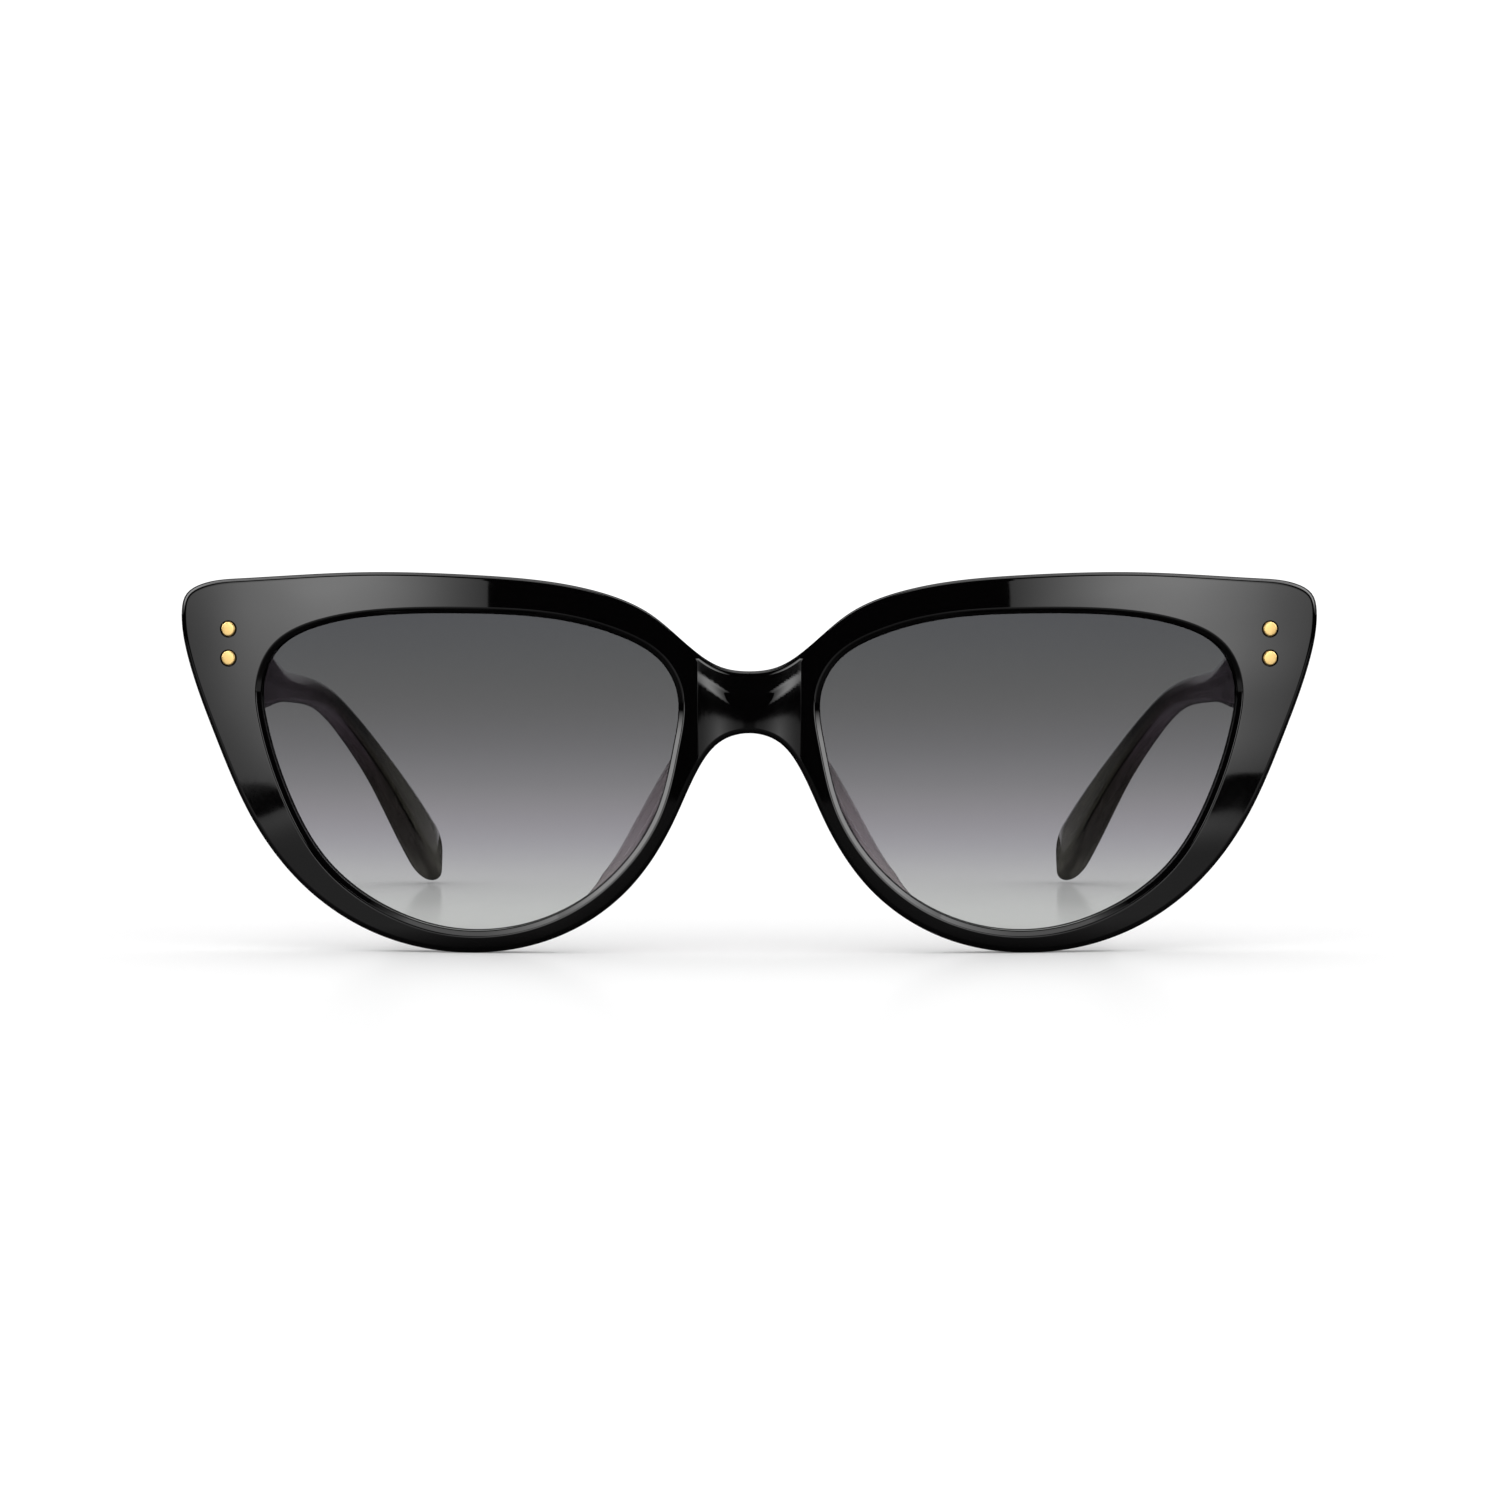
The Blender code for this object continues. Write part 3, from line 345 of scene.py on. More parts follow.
def bridge_lift(x):
    """How far the bridge stands in front of the bow, with a small fillet in its crease.

    The largest exponent holds the lift at 0.18 mm, short of the arch's 1.46 mm at the middle; only the
    shading normals follow the whole arch."""
    return -BRIDGE_BLEND * math.log1p(math.exp(min(-bridge_arch(x) / BRIDGE_BLEND, LARGEST_EXPONENT)))


def bridge_slope(x):
    """Slope of the bridge's whole arch, for the shading normals."""
    return (x / BRIDGE_RADIUS - bow_slope(x)) * bridge_share(x)


def bridge_share(x):
    """How far a point belongs to the bridge: 1 between the creases, 0 on the rims."""
    return 1 / (1 + math.exp(min(bridge_arch(x) / BRIDGE_BLEND, LARGEST_EXPONENT)))


def relief_table():
    """Heights above the bridge's line, and the lean and the relief of the bridge's face at each."""
    heights = np.linspace(-12.0, 12.0, 4801)
    tilts = np.interp(heights, *zip(*BRIDGE_TILTS))
    relief = np.concatenate([[0.0], np.cumsum((tilts[1:] + tilts[:-1]) / 2 * np.diff(heights))])
    return heights, tilts, relief - np.interp(BRIDGE_RELIEF_ZERO, heights, relief)


RELIEF = relief_table()


def above_line(x, z):
    """Height of a point above the bridge's line, and how fast the line rises with x there."""
    low, rise, bend = BRIDGE_LINE
    reach = math.hypot(x, bend)
    return z - low - rise * (reach - bend), rise * x / reach


def front_depth(x, z=BRIDGE_MIDDLE):
    """Depth of the front face."""
    relief = float(np.interp(above_line(x, z)[0], RELIEF[0], RELIEF[2]))
    relief -= BRIDGE_ROUNDING / 2 * (z - BRIDGE_MIDDLE) ** 2
    return bow_depth(x) + bridge_lift(x) + bridge_share(x) * relief


def back_depth(x):
    """Depth of the back face."""
    return bow_depth(x) + BRIDGE_BACK_SHARE * bridge_lift(x) + FRONT_THICKNESS


def front_normal(x, z):
    """Direction out of the front face."""
    height, rise = above_line(x, z)
    tilt = bridge_share(x) * float(np.interp(height, RELIEF[0], RELIEF[1]))
    level = tilt - bridge_share(x) * BRIDGE_ROUNDING * (z - BRIDGE_MIDDLE)
    return Vector((bow_slope(x) + bridge_slope(x) - tilt * rise, -1.0, level)).normalized()


def back_normal(x):
    """Direction out of the back face."""
    return Vector((-bow_slope(x) - BRIDGE_BACK_SHARE * bridge_slope(x), 1.0, 0.0)).normalized()


# ---------------------------------------------------------------- places and pieces

def axis_place():
    """Plan position of the hinge screw, drawn on the right."""
    tilt = HINGE_STANDOFF / math.cos(math.atan(bow_slope(HINGE_X)))
    return HINGE_X, back_depth(HINGE_X) + tilt


def layout_shift():
    """Millimetres from the design layout to the row frame, read from the right-hand fold axis."""
    joint = [j for j in frame["joints"] if j["name"] == "right_temple_fold"][0]
    ax, ay = axis_place()
    return Vector(joint["pos_m"]) / MM - Vector((ax, ay, HINGE_Z))


SHIFT = layout_shift()


def to_row(point):
    """A point of the design layout in the row frame, in metres."""
    return (Vector(point) + SHIFT) * MM


def add_object(name, data):
    """Put an object with the given data in the scene."""
    item = bpy.data.objects.new(name, data)
    bpy.context.scene.collection.objects.link(item)
    return item


def turn_outwards(mesh):
    """Turn the faces of a closed mesh outwards."""
    tidy = bmesh.new()
    tidy.from_mesh(mesh)
    bmesh.ops.recalc_face_normals(tidy, faces=tidy.faces)
    tidy.to_mesh(mesh)
    tidy.free()


def make_piece(name, vertices, faces, material, body, replaces, normals=None, sharp=35.0, grain=None):
    """Make one visual piece from millimetre vertices and let it ride on a body.

    normals are one per vertex; grain is a place in the material's own grain, one per vertex."""
    mesh = bpy.data.meshes.new(name)
    mesh.from_pydata([to_row(v) for v in vertices], [], faces)
    if grain is not None:
        places = mesh.attributes.new("grain_place", "FLOAT_VECTOR", "POINT")
        places.data.foreach_set("vector", np.asarray(grain, float).ravel())
    if normals is None:
        turn_outwards(mesh)
    mesh.shade_smooth()
    mesh.set_sharp_from_angle(angle=math.radians(sharp))
    if normals is not None:
        mesh.normals_split_custom_set_from_vertices(normals)
    mesh.materials.append(material)
    piece = add_object(name, mesh)
    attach(piece, body)
    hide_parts(*replaces)


def mirrored(vertices, side):
    """Return the vertices for one side of the face: as drawn on the right, mirrored on the left."""
    return [(v[0] * side, v[1], v[2]) for v in vertices]


def skin(first, count, rings, flip=False):
    """Four-sided faces that join rings of vertices, numbered from first on."""
    faces = []
    for low in range(first, first + (rings - 1) * count, count):
        for i in range(count):
            j = (i + 1) % count
            quad = (low + i, low + j, low + count + j, low + count + i)
            faces.append(quad[::-1] if flip else quad)
    return faces


def bridge_rings(rings):
    """Join equal rings of points into one skin, with a fan over each end."""
    vertices = [tuple(point) for ring in rings for point in ring]
    count = len(rings[0])
    faces = skin(0, count, len(rings))
    for low, ring in ((0, rings[0]), (len(vertices) - count, rings[-1])):
        middle = len(vertices)
        vertices.append(tuple(np.mean(ring, axis=0)))
        faces += [(low + i, low + (i + 1) % count, middle) for i in range(count)]
    return vertices, faces


def turned(profile, sides, place, axis):
    """Turn a profile of (radius, height) pairs about an axis through a place; both ends are closed."""
    axis = Vector(axis).normalized()
    across = axis.orthogonal().normalized()
    other = axis.cross(across)
    rings = []
    for radius, height in profile:
        centre = Vector(place) + axis * height
        rings.append([tuple(centre + (across * math.cos(a) + other * math.sin(a)) * radius)
                      for a in angles(sides, 0.5)])
    return bridge_rings(rings)


# ---------------------------------------------------------------- materials

ACETATE_IOR = 1.49
# Waves that polishing leaves: their fineness in noise cells per metre, and their height in metres.
POLISH_SCALES = (30.0, 95.0)
POLISH_WAVE = 0.00008
# Share of light that one face of the lens lets through, by height (0 bottom, 1 top), per colour.
LENS_TINT = [
    (0.0, (0.735, 0.742, 0.735)), (0.08, (0.690, 0.697, 0.692)), (0.19, (0.620, 0.620, 0.628)),
    (0.28, (0.544, 0.540, 0.562)), (0.37, (0.492, 0.482, 0.499)), (0.46, (0.436, 0.433, 0.443)),
    (0.58, (0.370, 0.369, 0.378)), (0.72, (0.325, 0.325, 0.326)), (0.86, (0.302, 0.306, 0.310)),
    (1.0, (0.283, 0.287, 0.297)),
]
# Colours of the temples along their run (0 at the hinge, 1 at the tip): the sides, and the underside,
# painted lighter to stand for the light that it lets through.
HORN_SIDE = [
    (0.0, (0.25, 0.215, 0.25)), (0.48, (0.29, 0.245, 0.285)), (0.62, (0.30, 0.25, 0.28)),
    (0.73, (0.13, 0.12, 0.10)), (0.82, (0.15, 0.145, 0.11)), (0.90, (0.13, 0.135, 0.10)),
    (1.0, (0.21, 0.20, 0.18)),
]
HORN_UNDER_WITH_PAINTED_LIGHT = [
    (0.0, (0.36, 0.31, 0.36)), (0.50, (0.62, 0.55, 0.62)), (0.61, (0.62, 0.55, 0.62)),
    (0.69, (0.36, 0.285, 0.345)), (0.77, (0.11, 0.095, 0.085)), (0.86, (0.085, 0.078, 0.07)),
    (1.0, (0.14, 0.135, 0.12)),
]
# Stretches of the run: painted shade on the upper edge at the bend, a painted dark line of shade along the
# ridge, painted light on the inner side near the hinge.
HORN_BEND_PAINTED_SHADE = (0.56, 0.66, 0.74, 0.80)
HORN_RIDGE_PAINTED_SHADE = (0.66, 0.72, 0.90, 0.95)
HORN_HINGE_PAINTED_LIGHT = (0.42, 0.60)


def new_material(name):
    """Start a node material; return it, its tree, its Principled shader and the places on the piece."""
    material = bpy.data.materials.new(name)
    material.use_nodes = True
    tree = material.node_tree
    place = add_node(tree, "TexCoord").outputs["Object"]
    return material, tree, tree.nodes["Principled BSDF"], place


def set_inputs(tree, node, inputs):
    """Set a node's inputs: a value is set, a socket is linked."""
    for key, value in inputs.items():
        if isinstance(value, bpy.types.NodeSocket):
            tree.links.new(value, node.inputs[key])
        else:
            node.inputs[key].default_value = value


def add_node(tree, kind, inputs=None, **settings):
    """Add a shader node of a kind with given inputs and settings."""
    node = tree.nodes.new("ShaderNode" + kind)
    for key, value in settings.items():
        setattr(node, key, value)
    set_inputs(tree, node, inputs or {})
    return node


def calculate(tree, operation, *values, clamp=False):
    """Result of a maths node over some values."""
    return add_node(tree, "Math", dict(enumerate(values)), operation=operation,
                    use_clamp=clamp).outputs[0]


def times(tree, result, *others):
    """Product of several values."""
    for other in others:
        result = calculate(tree, "MULTIPLY", result, other)
    return result


def split(tree, vector):
    """The X, Y and Z sockets of a vector."""
    return add_node(tree, "SeparateXYZ", {"Vector": vector}).outputs


def stretched(tree, vector, scale):
    """A vector scaled by its own factor along each axis."""
    return add_node(tree, "Mapping", {"Vector": vector, "Scale": scale}).outputs[0]


def noise(tree, vector, scale, detail=2.0, roughness=0.5, distortion=0.0):
    """Noise over a vector; returns its value socket."""
    node = add_node(tree, "TexNoise", {"Vector": vector, "Scale": scale, "Detail": detail,
                                                 "Roughness": roughness, "Distortion": distortion})
    return node.outputs["Fac"]


def spread(tree, value, low, high, from_low=0.0, from_high=1.0):
    """Map a value to another range, held at its ends."""
    node = add_node(tree, "MapRange", {"Value": value, "From Min": from_low, "From Max": from_high,
                                                 "To Min": low, "To Max": high})
    return node.outputs["Result"]


def between(tree, value, start, full, fade, end):
    """1 from full to fade, running down to 0 at start and at end."""
    return times(tree, spread(tree, value, 0.0, 1.0, start, full), spread(tree, value, 1.0, 0.0, fade, end))


def bumps(tree, *layers):
    """Stack bump layers of (height socket, distance in metres); returns the normal socket."""
    inputs = {}
    for height, distance in layers:
        inputs.update({"Height": height, "Distance": distance, "Strength": 1.0})
        inputs["Normal"] = add_node(tree, "Bump", inputs).outputs["Normal"]
    return inputs["Normal"]


def ramp(tree, value, stops):
    """Colour ramp over a value; stops are (place, (r, g, b))."""
    node = add_node(tree, "ValToRGB", {"Fac": value})
    band = node.color_ramp
    band.interpolation = "B_SPLINE" if len(stops) > 2 else "LINEAR"
    while len(band.elements) < len(stops):
        band.elements.new(0.5)
    for element, (place, colour) in zip(band.elements, stops):
        element.position = place
        element.color = (*colour, 1.0)
    return node.outputs["Color"]


def mix_shaders(tree, share, first, second):
    """Mix two shader nodes by the share of the second."""
    return add_node(tree, "MixShader", {0: share, 1: first.outputs[0], 2: second.outputs[0]})


def set_surface(tree, node):
    """Make a shader node the material's surface."""
    tree.links.new(node.outputs[0], tree.nodes["Material Output"].inputs["Surface"])


def black_acetate():
    """Polished black acetate: mirror gloss with the faint waves that hand polishing leaves on the rims."""
    material, tree, shader, place = new_material("black_acetate")
    aside = calculate(tree, "ABSOLUTE", split(tree, place)["X"])
    off_bridge = spread(tree, aside, 0.0, 1.0, BRIDGE_CREASE * MM, 3 * BRIDGE_CREASE * MM)
    waves = [spread(tree, noise(tree, place, scale, detail=0.0), -0.5, 0.5) for scale in POLISH_SCALES]
    swirl = noise(tree, place, 900.0, detail=4.0, roughness=0.6, distortion=1.5)
    set_inputs(tree, shader, {
        "Base Color": (0.0009, 0.0008, 0.0009, 1.0), "IOR": ACETATE_IOR,
        "Roughness": spread(tree, swirl, 0.012, 0.045),
        "Normal": bumps(tree, *[(times(tree, wave, off_bridge), POLISH_WAVE) for wave in waves])})
    return material


def graduated_lens():
    """Tinted lens: grey at the top, nearly clear at the bottom, with an anti-reflection coating."""
    material, tree, shader, place = new_material("graduated_lens")
    heights = [z * MM for x, z in LENS_OUTLINE]
    level = spread(tree, split(tree, place)["Z"], 0.0, 1.0, min(heights), max(heights))
    drift = calculate(tree, "ADD", level, spread(tree, noise(tree, place, 30.0), -0.006, 0.006))
    clear = add_node(tree, "BsdfTransparent", {"Color": ramp(tree, drift, LENS_TINT)})
    set_inputs(tree, shader, {
        "Base Color": (0.02, 0.02, 0.022, 1.0), "IOR": 1.5, "Specular IOR Level": 0.04,
        "Roughness": spread(tree, noise(tree, place, 700.0), 0.01, 0.03)})
    facing = add_node(tree, "Fresnel", {"IOR": 1.12})
    set_surface(tree, mix_shaders(tree, facing.outputs[0], clear, shader))
    return material


def smoky_horn():
    """Translucent smoky acetate: mauve grey at the hinge, dark olive horn towards the tip.

    The colours follow the temple's own grain: along its run, across it, and from its lower to its
    upper edge. On top of the horn's colour there is painted light on the underside and on the inner side
    near the hinge, and painted shade on the upper edge at the bend and along the ridge."""
    material, tree, shader, place = new_material("smoky_horn")
    grain = add_node(tree, "Attribute", attribute_name="grain_place").outputs["Vector"]
    along, across, up = split(tree, grain)
    streaks = noise(tree, stretched(tree, grain, (9.0, 0.9, 1.6)), 1.0, 4.0, 0.55, 1.2)
    fibres = noise(tree, stretched(tree, grain, (14.0, 2.0, 4.0)), 1.0, 4.0, 0.5, 1.6)
    run = calculate(tree, "ADD", along, spread(tree, streaks, -0.06, 0.06))
    below = calculate(tree, "SUBTRACT", times(tree, up, -1.0), calculate(tree, "ABSOLUTE", across))
    wavy = calculate(tree, "ADD", below, spread(tree, streaks, -0.12, 0.12))
    # Mix of the side colour and the underside colour, which carries painted light.
    whole = add_node(tree, "Mix", {"Factor": spread(tree, wavy, 0.0, 1.0, -0.15, 0.10),
                                             6: ramp(tree, run, HORN_SIDE), 7: ramp(tree, run, HORN_UNDER_WITH_PAINTED_LIGHT)},
                     data_type="RGBA").outputs[2]
    inner = spread(tree, across, 1.0, 0.0, -0.3, 0.6)
    # Painted shade: the upper edge of the inner side darkened where the temple bends.
    upper = times(tree, between(tree, run, *HORN_BEND_PAINTED_SHADE), inner, spread(tree, up, 0.0, 1.0, -0.6, 0.1))
    # Painted shade: a dark line along the ridge between the inner side and the top.
    painted_ridge_shade = times(tree, spread(tree, calculate(tree, "ABSOLUTE", wavy), 1.0, 0.0, 0.03, 0.14),
                  between(tree, run, *HORN_RIDGE_PAINTED_SHADE), inner)
    # Factor of painted shade from the bend and the ridge, on the colour.
    dark = spread(tree, calculate(tree, "MAXIMUM", painted_ridge_shade, upper), 1.0, 0.04)
    # Painted light: the inner side made lighter near the hinge.
    broad = times(tree, inner, spread(tree, run, 1.0, 0.0, *HORN_HINGE_PAINTED_LIGHT))
    light = times(tree, spread(tree, fibres, 0.72, 1.38, 0.3, 0.7), dark, spread(tree, broad, 1.0, 1.7))
    # Colour: the horn's fibres with the painted shade and painted light.
    grain_with_painted_light_and_shade = add_node(tree, "VectorMath", {0: whole, "Scale": light}, operation="SCALE").outputs[0]
    set_inputs(tree, shader, {
        "Base Color": grain_with_painted_light_and_shade, "IOR": ACETATE_IOR, "Specular IOR Level": 0.3, "Transmission Weight": 0.5,
        "Roughness": spread(tree, noise(tree, place, 800.0, 3.0), 0.03, 0.08),
        "Normal": bumps(tree, (noise(tree, place, 70.0, 1.0), 0.00006))})
    return material


def pad_acetate():
    """Milky, faintly pink acetate of the nose pads."""
    material, tree, shader, place = new_material("pad_acetate")
    cloud = noise(tree, place, 120.0, 3.0)
    set_inputs(tree, shader, {
        "Base Color": ramp(tree, cloud, [(0.3, (0.84, 0.74, 0.76)), (0.7, (0.92, 0.84, 0.85))]),
        "IOR": ACETATE_IOR, "Transmission Weight": 0.65,
        "Roughness": spread(tree, noise(tree, place, 900.0), 0.14, 0.24),
        "Normal": bumps(tree, (noise(tree, place, 120.0, 1.0), 0.00004))})
    return material


def plated_gold():
    """Gold-plated rivets, polished, with fine scuffs."""
    material, tree, shader, place = new_material("plated_gold")
    grain = noise(tree, place, 1500.0, 3.0)
    set_inputs(tree, shader, {
        "Base Color": ramp(tree, grain, [(0.3, (0.80, 0.54, 0.20)), (0.7, (0.90, 0.64, 0.27))]),
        "Metallic": 1.0, "Roughness": spread(tree, grain, 0.34, 0.46),
        "Normal": bumps(tree, (grain, 0.0000015))})
    return material


def brushed_metal(name, dark, light, rough, stretch):
    """Metal with drawn or turned grain along one axis."""
    material, tree, shader, place = new_material(name)
    grain = noise(tree, stretched(tree, place, stretch), 1.0, 4.0, 0.6)
    both = times(tree, grain, noise(tree, place, 400.0))
    set_inputs(tree, shader, {
        "Base Color": ramp(tree, both, [(0.1, dark), (0.45, light)]), "Metallic": 1.0,
        "Roughness": spread(tree, grain, *rough), "Normal": bumps(tree, (grain, 0.000002))})
    return material


# ---------------------------------------------------------------- front

def full_outline(count):
    """Outline of the whole front: the drawn half and its mirror image."""
    other = [(-x, z) for x, z in reversed(FRONT_OUTLINE[1:-1])]
    return counter_clockwise(smooth_loop(FRONT_OUTLINE + other, count))


def lens_outline(side):
    """Visible edge of one lens."""
    return counter_clockwise(smooth_loop(LENS_OUTLINE, LENS_POINTS) * np.array([side, 1.0]))


def lay(point, depth, from_back):
    """Place a layout point at a depth counted from the front face or, backwards, from the back face."""
    x, z = point
    return (x, back_depth(x) - depth if from_back else front_depth(x, z) + depth, z)


def facing(point, from_back):
    """Direction out of the front or the back face at a layout point."""
    return back_normal(point[0]) if from_back else front_normal(*point)


def front_wall(loop, sign, corners, radii):
    """Rings of a wall between the front and the back face, with their normals.

    corners are (offset into the material, depth); depths beyond half the thickness are counted from
    the back face. sign is 1 round an opening and -1 round the outline."""
    into = outward_normals(loop) * sign
    rings = []
    normals = []
    for offset, depth, normal_in, normal_deep in rounded_path(corners, radii, ROUND_STEPS):
        ring = loop + into * offset
        from_back = depth > FRONT_THICKNESS / 2
        measured = FRONT_THICKNESS - depth if from_back else depth
        rings.append([lay(p, measured, from_back) for p in ring])
        found = []
        for p, (ix, iz) in zip(ring, into):
            if normal_in == 0 and normal_deep == 0:
                found.append((0.0, 0.0, 0.0))
                continue
            out = Vector((ix, 0.0, iz)) * normal_in + facing(p, normal_deep >= 0) * abs(normal_deep)
            found.append(tuple(out.normalized()))
        normals.append(found)
    return rings, normals


def circle(place, radius, count):
    """Counter-clockwise circle of layout points."""
    return np.array([(place[0] + radius * math.cos(a), place[1] + radius * math.sin(a))
                     for a in angles(count)])


def round_corners(centres, radius, steps):
    """Quarter circles about four centres, which run counter-clockwise from the one at the upper right."""
    points = []
    for quarter, (x, z) in enumerate(centres):
        for k in range(steps + 1):
            angle = math.pi / 2 * (quarter + k / steps)
            points.append((x + radius * math.cos(angle), z + radius * math.sin(angle)))
    return points


def rounded_box(low, high, radius):
    """Rectangle of layout points with round corners."""
    (left, bottom), (right, top) = [v + radius for v in low], [v - radius for v in high]
    centres = [(right, top), (left, top), (left, bottom), (right, bottom)]
    return np.array(round_corners(centres, radius, BOX_CORNER_STEPS))


def face_grid(edge, holes):
    """Grid points on a face, clear of its edge and its holes: coarse, and finer over the bridge."""
    reach = max(x for x, z in FRONT_OUTLINE)
    top = max(z for x, z in FRONT_OUTLINE)
    bridge = 1.5 * BRIDGE_CREASE
    columns = np.arange(bridge + FACE_GRID / 2, reach, FACE_GRID)
    points = [(s * x, z) for s in (-1, 1) for x in columns for z in np.arange(GRID_FOOT, top, FACE_GRID)]
    crease = [BRIDGE_CREASE - 2 * BRIDGE_GRID, BRIDGE_CREASE - CREASE_GRID, BRIDGE_CREASE + CREASE_GRID]
    fine = list(np.arange(BRIDGE_GRID / 2, crease[0] - BRIDGE_GRID / 2, BRIDGE_GRID)) + crease
    points += [(s * x, z) for s in (-1, 1) for x in fine for z in np.arange(*BRIDGE_LEVELS, BRIDGE_GRID)]
    beside = np.arange(BRIDGE_CREASE + 2 * BRIDGE_GRID, bridge, 2 * BRIDGE_GRID)
    points += [(s * x, z) for s in (-1, 1) for x in beside
               for z in np.arange(BESIDE_BRIDGE_FOOT, top, 4 * BRIDGE_GRID)]
    points = np.array(points)
    keep = inside(points, edge)
    for hole in holes:
        keep &= ~inside(points, hole)
    points = points[keep]
    border = np.concatenate([edge] + list(holes))
    apart = np.sqrt(((points[:, None, :] - border[None, :, :]) ** 2).sum(axis=2)).min(axis=1)
    return points[apart > np.where(np.abs(points[:, 0]) < bridge, BRIDGE_EDGE_ROOM, FACE_EDGE_ROOM)]


def fill_face(edge, holes):
    """Triangulate a face between its edge and its holes; return the extra points and the triangles."""
    extra = face_grid(edge, holes)
    points = [Vector(p) for p in edge]
    edges = [(i, (i + 1) % len(edge)) for i in range(len(edge))]
    for hole in holes:
        first = len(points)
        points += [Vector(p) for p in hole]
        edges += [(first + i, first + (i + 1) % len(hole)) for i in range(len(hole))]
    points += [Vector(p) for p in extra]
    result = delaunay_2d_cdt(points, edges, [], 1, 1e-7)
    source = np.array([origin[0] for origin in result[3]])
    triangles = np.array([tuple(face) for face in result[2]])
    middles = np.array([tuple(v) for v in result[0]])[triangles].mean(axis=1)
    keep = np.ones(len(triangles), bool)
    for hole in holes:
        keep &= ~inside(middles, hole)
    return extra, [tuple(int(source[v]) for v in face) for face in triangles[keep]]


def build_front(material):
    """Front: rims, bridge and endpieces with soft edges, chamfered rims, grooves and pockets."""
    thick = FRONT_THICKNESS
    outline = full_outline(OUTLINE_POINTS)
    openings = [lens_outline(side) for side in (-1, 1)]
    outer_corners = [(EDGE_ROUND + OUTLINE_MARGIN, 0.0), (0.0, 0.0), (0.0, thick / 2),
                     (0.0, thick / 2 + SEAM), (0.0, thick), (EDGE_ROUND + OUTLINE_MARGIN, thick)]
    rim_corners = [(RIM_CHAMFER + RIM_FRONT_MARGIN, 0.0), (RIM_CHAMFER, 0.0), (0.0, RIM_CHAMFER),
                   (0.0, GROOVE_FRONT), (GROOVE_DEPTH, GROOVE_FRONT + GROOVE_WIDTH / 2),
                   (0.0, GROOVE_FRONT + GROOVE_WIDTH), (0.0, thick - RIM_BACK_CHAMFER),
                   (RIM_BACK_CHAMFER, thick), (RIM_BACK_CHAMFER + RIM_BACK_MARGIN, thick)]
    walls = [front_wall(outline, -1, outer_corners, [EDGE_ROUND, 0.0, 0.0, EDGE_ROUND])]
    walls += [front_wall(loop, 1, rim_corners, RIM_CORNER_ROUND) for loop in openings]

    vertices = []
    normals = []
    faces = []
    starts = []
    for rings, ring_normals in walls:
        first = len(vertices)
        count = len(rings[0])
        for ring, found in zip(rings, ring_normals):
            vertices += ring
            normals += found
        faces += skin(first, count, len(rings), flip=not starts)
        starts.append((first, first + (len(rings) - 1) * count, count))

    def pocket(loop, depth, from_back):
        """Sink a pocket with a flat floor; return its first mouth vertex, their count and the mouth."""
        first = len(vertices)
        count = len(loop)
        inward = -outward_normals(loop)
        for grow, deep, tilt in POCKET_MOUTH + [(0.0, depth, 1.0)]:
            for p, n in zip(loop - inward * grow, inward):
                vertices.append(lay(p, deep, from_back))
                side = Vector((n[0], 0.0, n[1]))
                normals.append(tuple((side * tilt + facing(p, from_back) * (1 - tilt)).normalized()))
        floor = len(vertices)
        for p in [*loop, loop.mean(axis=0)]:
            vertices.append(lay(p, depth, from_back))
            normals.append(tuple(facing(p, from_back)))
        faces.extend(skin(first, count, len(POCKET_MOUTH) + 1, from_back))
        for i in range(count):
            bottom = (floor + i, floor + (i + 1) % count, floor + count)
            faces.append(bottom[::-1] if from_back else bottom)
        return first, count, loop - inward * POCKET_MOUTH[0][0]

    mouths = {False: [], True: []}
    for side in (-1, 1):
        for level in rivet_levels(RIVET_SPACING):
            ring = circle((RIVET_X * side, level), RIVET_HEAD_RADIUS + RIVET_CLEARANCE, POCKET_SIDES)
            mouths[False].append(pocket(ring, RIVET_HEAD_DEPTH + RIVET_CLEARANCE, False))
        low_along, high_along = FRONT_PLATE_SPAN
        ends = [endpiece_point(low_along - PLATE_CLEARANCE, 0.0)[0],
                endpiece_point(high_along + PLATE_CLEARANCE, 0.0)[0]]
        half = FRONT_PLATE_HEIGHT / 2 + PLATE_CLEARANCE
        xs = sorted(x * side for x in ends)
        ring = rounded_box((xs[0], HINGE_Z - half), (xs[1], HINGE_Z + half), PLATE_CORNER + PLATE_CLEARANCE)
        mouths[True].append(pocket(ring, PLATE_THICKNESS + PLATE_RECESS + PLATE_CLEARANCE, True))

    for from_back in (False, True):
        loops = []
        index = []
        for (rings, _), (low, high, count) in zip(walls, starts):
            ring = rings[-1] if from_back else rings[0]
            loops.append(np.array([(p[0], p[2]) for p in ring]))
            index += [(high if from_back else low) + i for i in range(count)]
        for first, count, ring in mouths[from_back]:
            loops.append(ring)
            index += [first + i for i in range(count)]
        extra, triangles = fill_face(loops[0], loops[1:])
        index += [len(vertices) + i for i in range(len(extra))]
        for p in extra:
            vertices.append(lay(p, 0.0, from_back))
            normals.append(tuple(facing(p, from_back)))
        for triangle in triangles:
            face = tuple(index[v] for v in triangle)
            faces.append(face[::-1] if from_back else face)
    make_piece("front_shell", vertices, faces, material, "front", ("front_frame",), normals)


def rivet_levels(spacing):
    """Heights of the upper and the lower rivet."""
    return [HINGE_Z + spacing / 2, HINGE_Z - spacing / 2]


def endpiece_point(along, behind):
    """Plan point near the endpiece, along its back face and behind it, from the middle of the plate."""
    slope = bow_slope(FRONT_PLATE_X)
    length = math.hypot(1.0, slope)
    x = FRONT_PLATE_X + (along - behind * slope) / length
    y = back_depth(FRONT_PLATE_X) + (along * slope + behind) / length
    return x, y


# ---------------------------------------------------------------- lenses

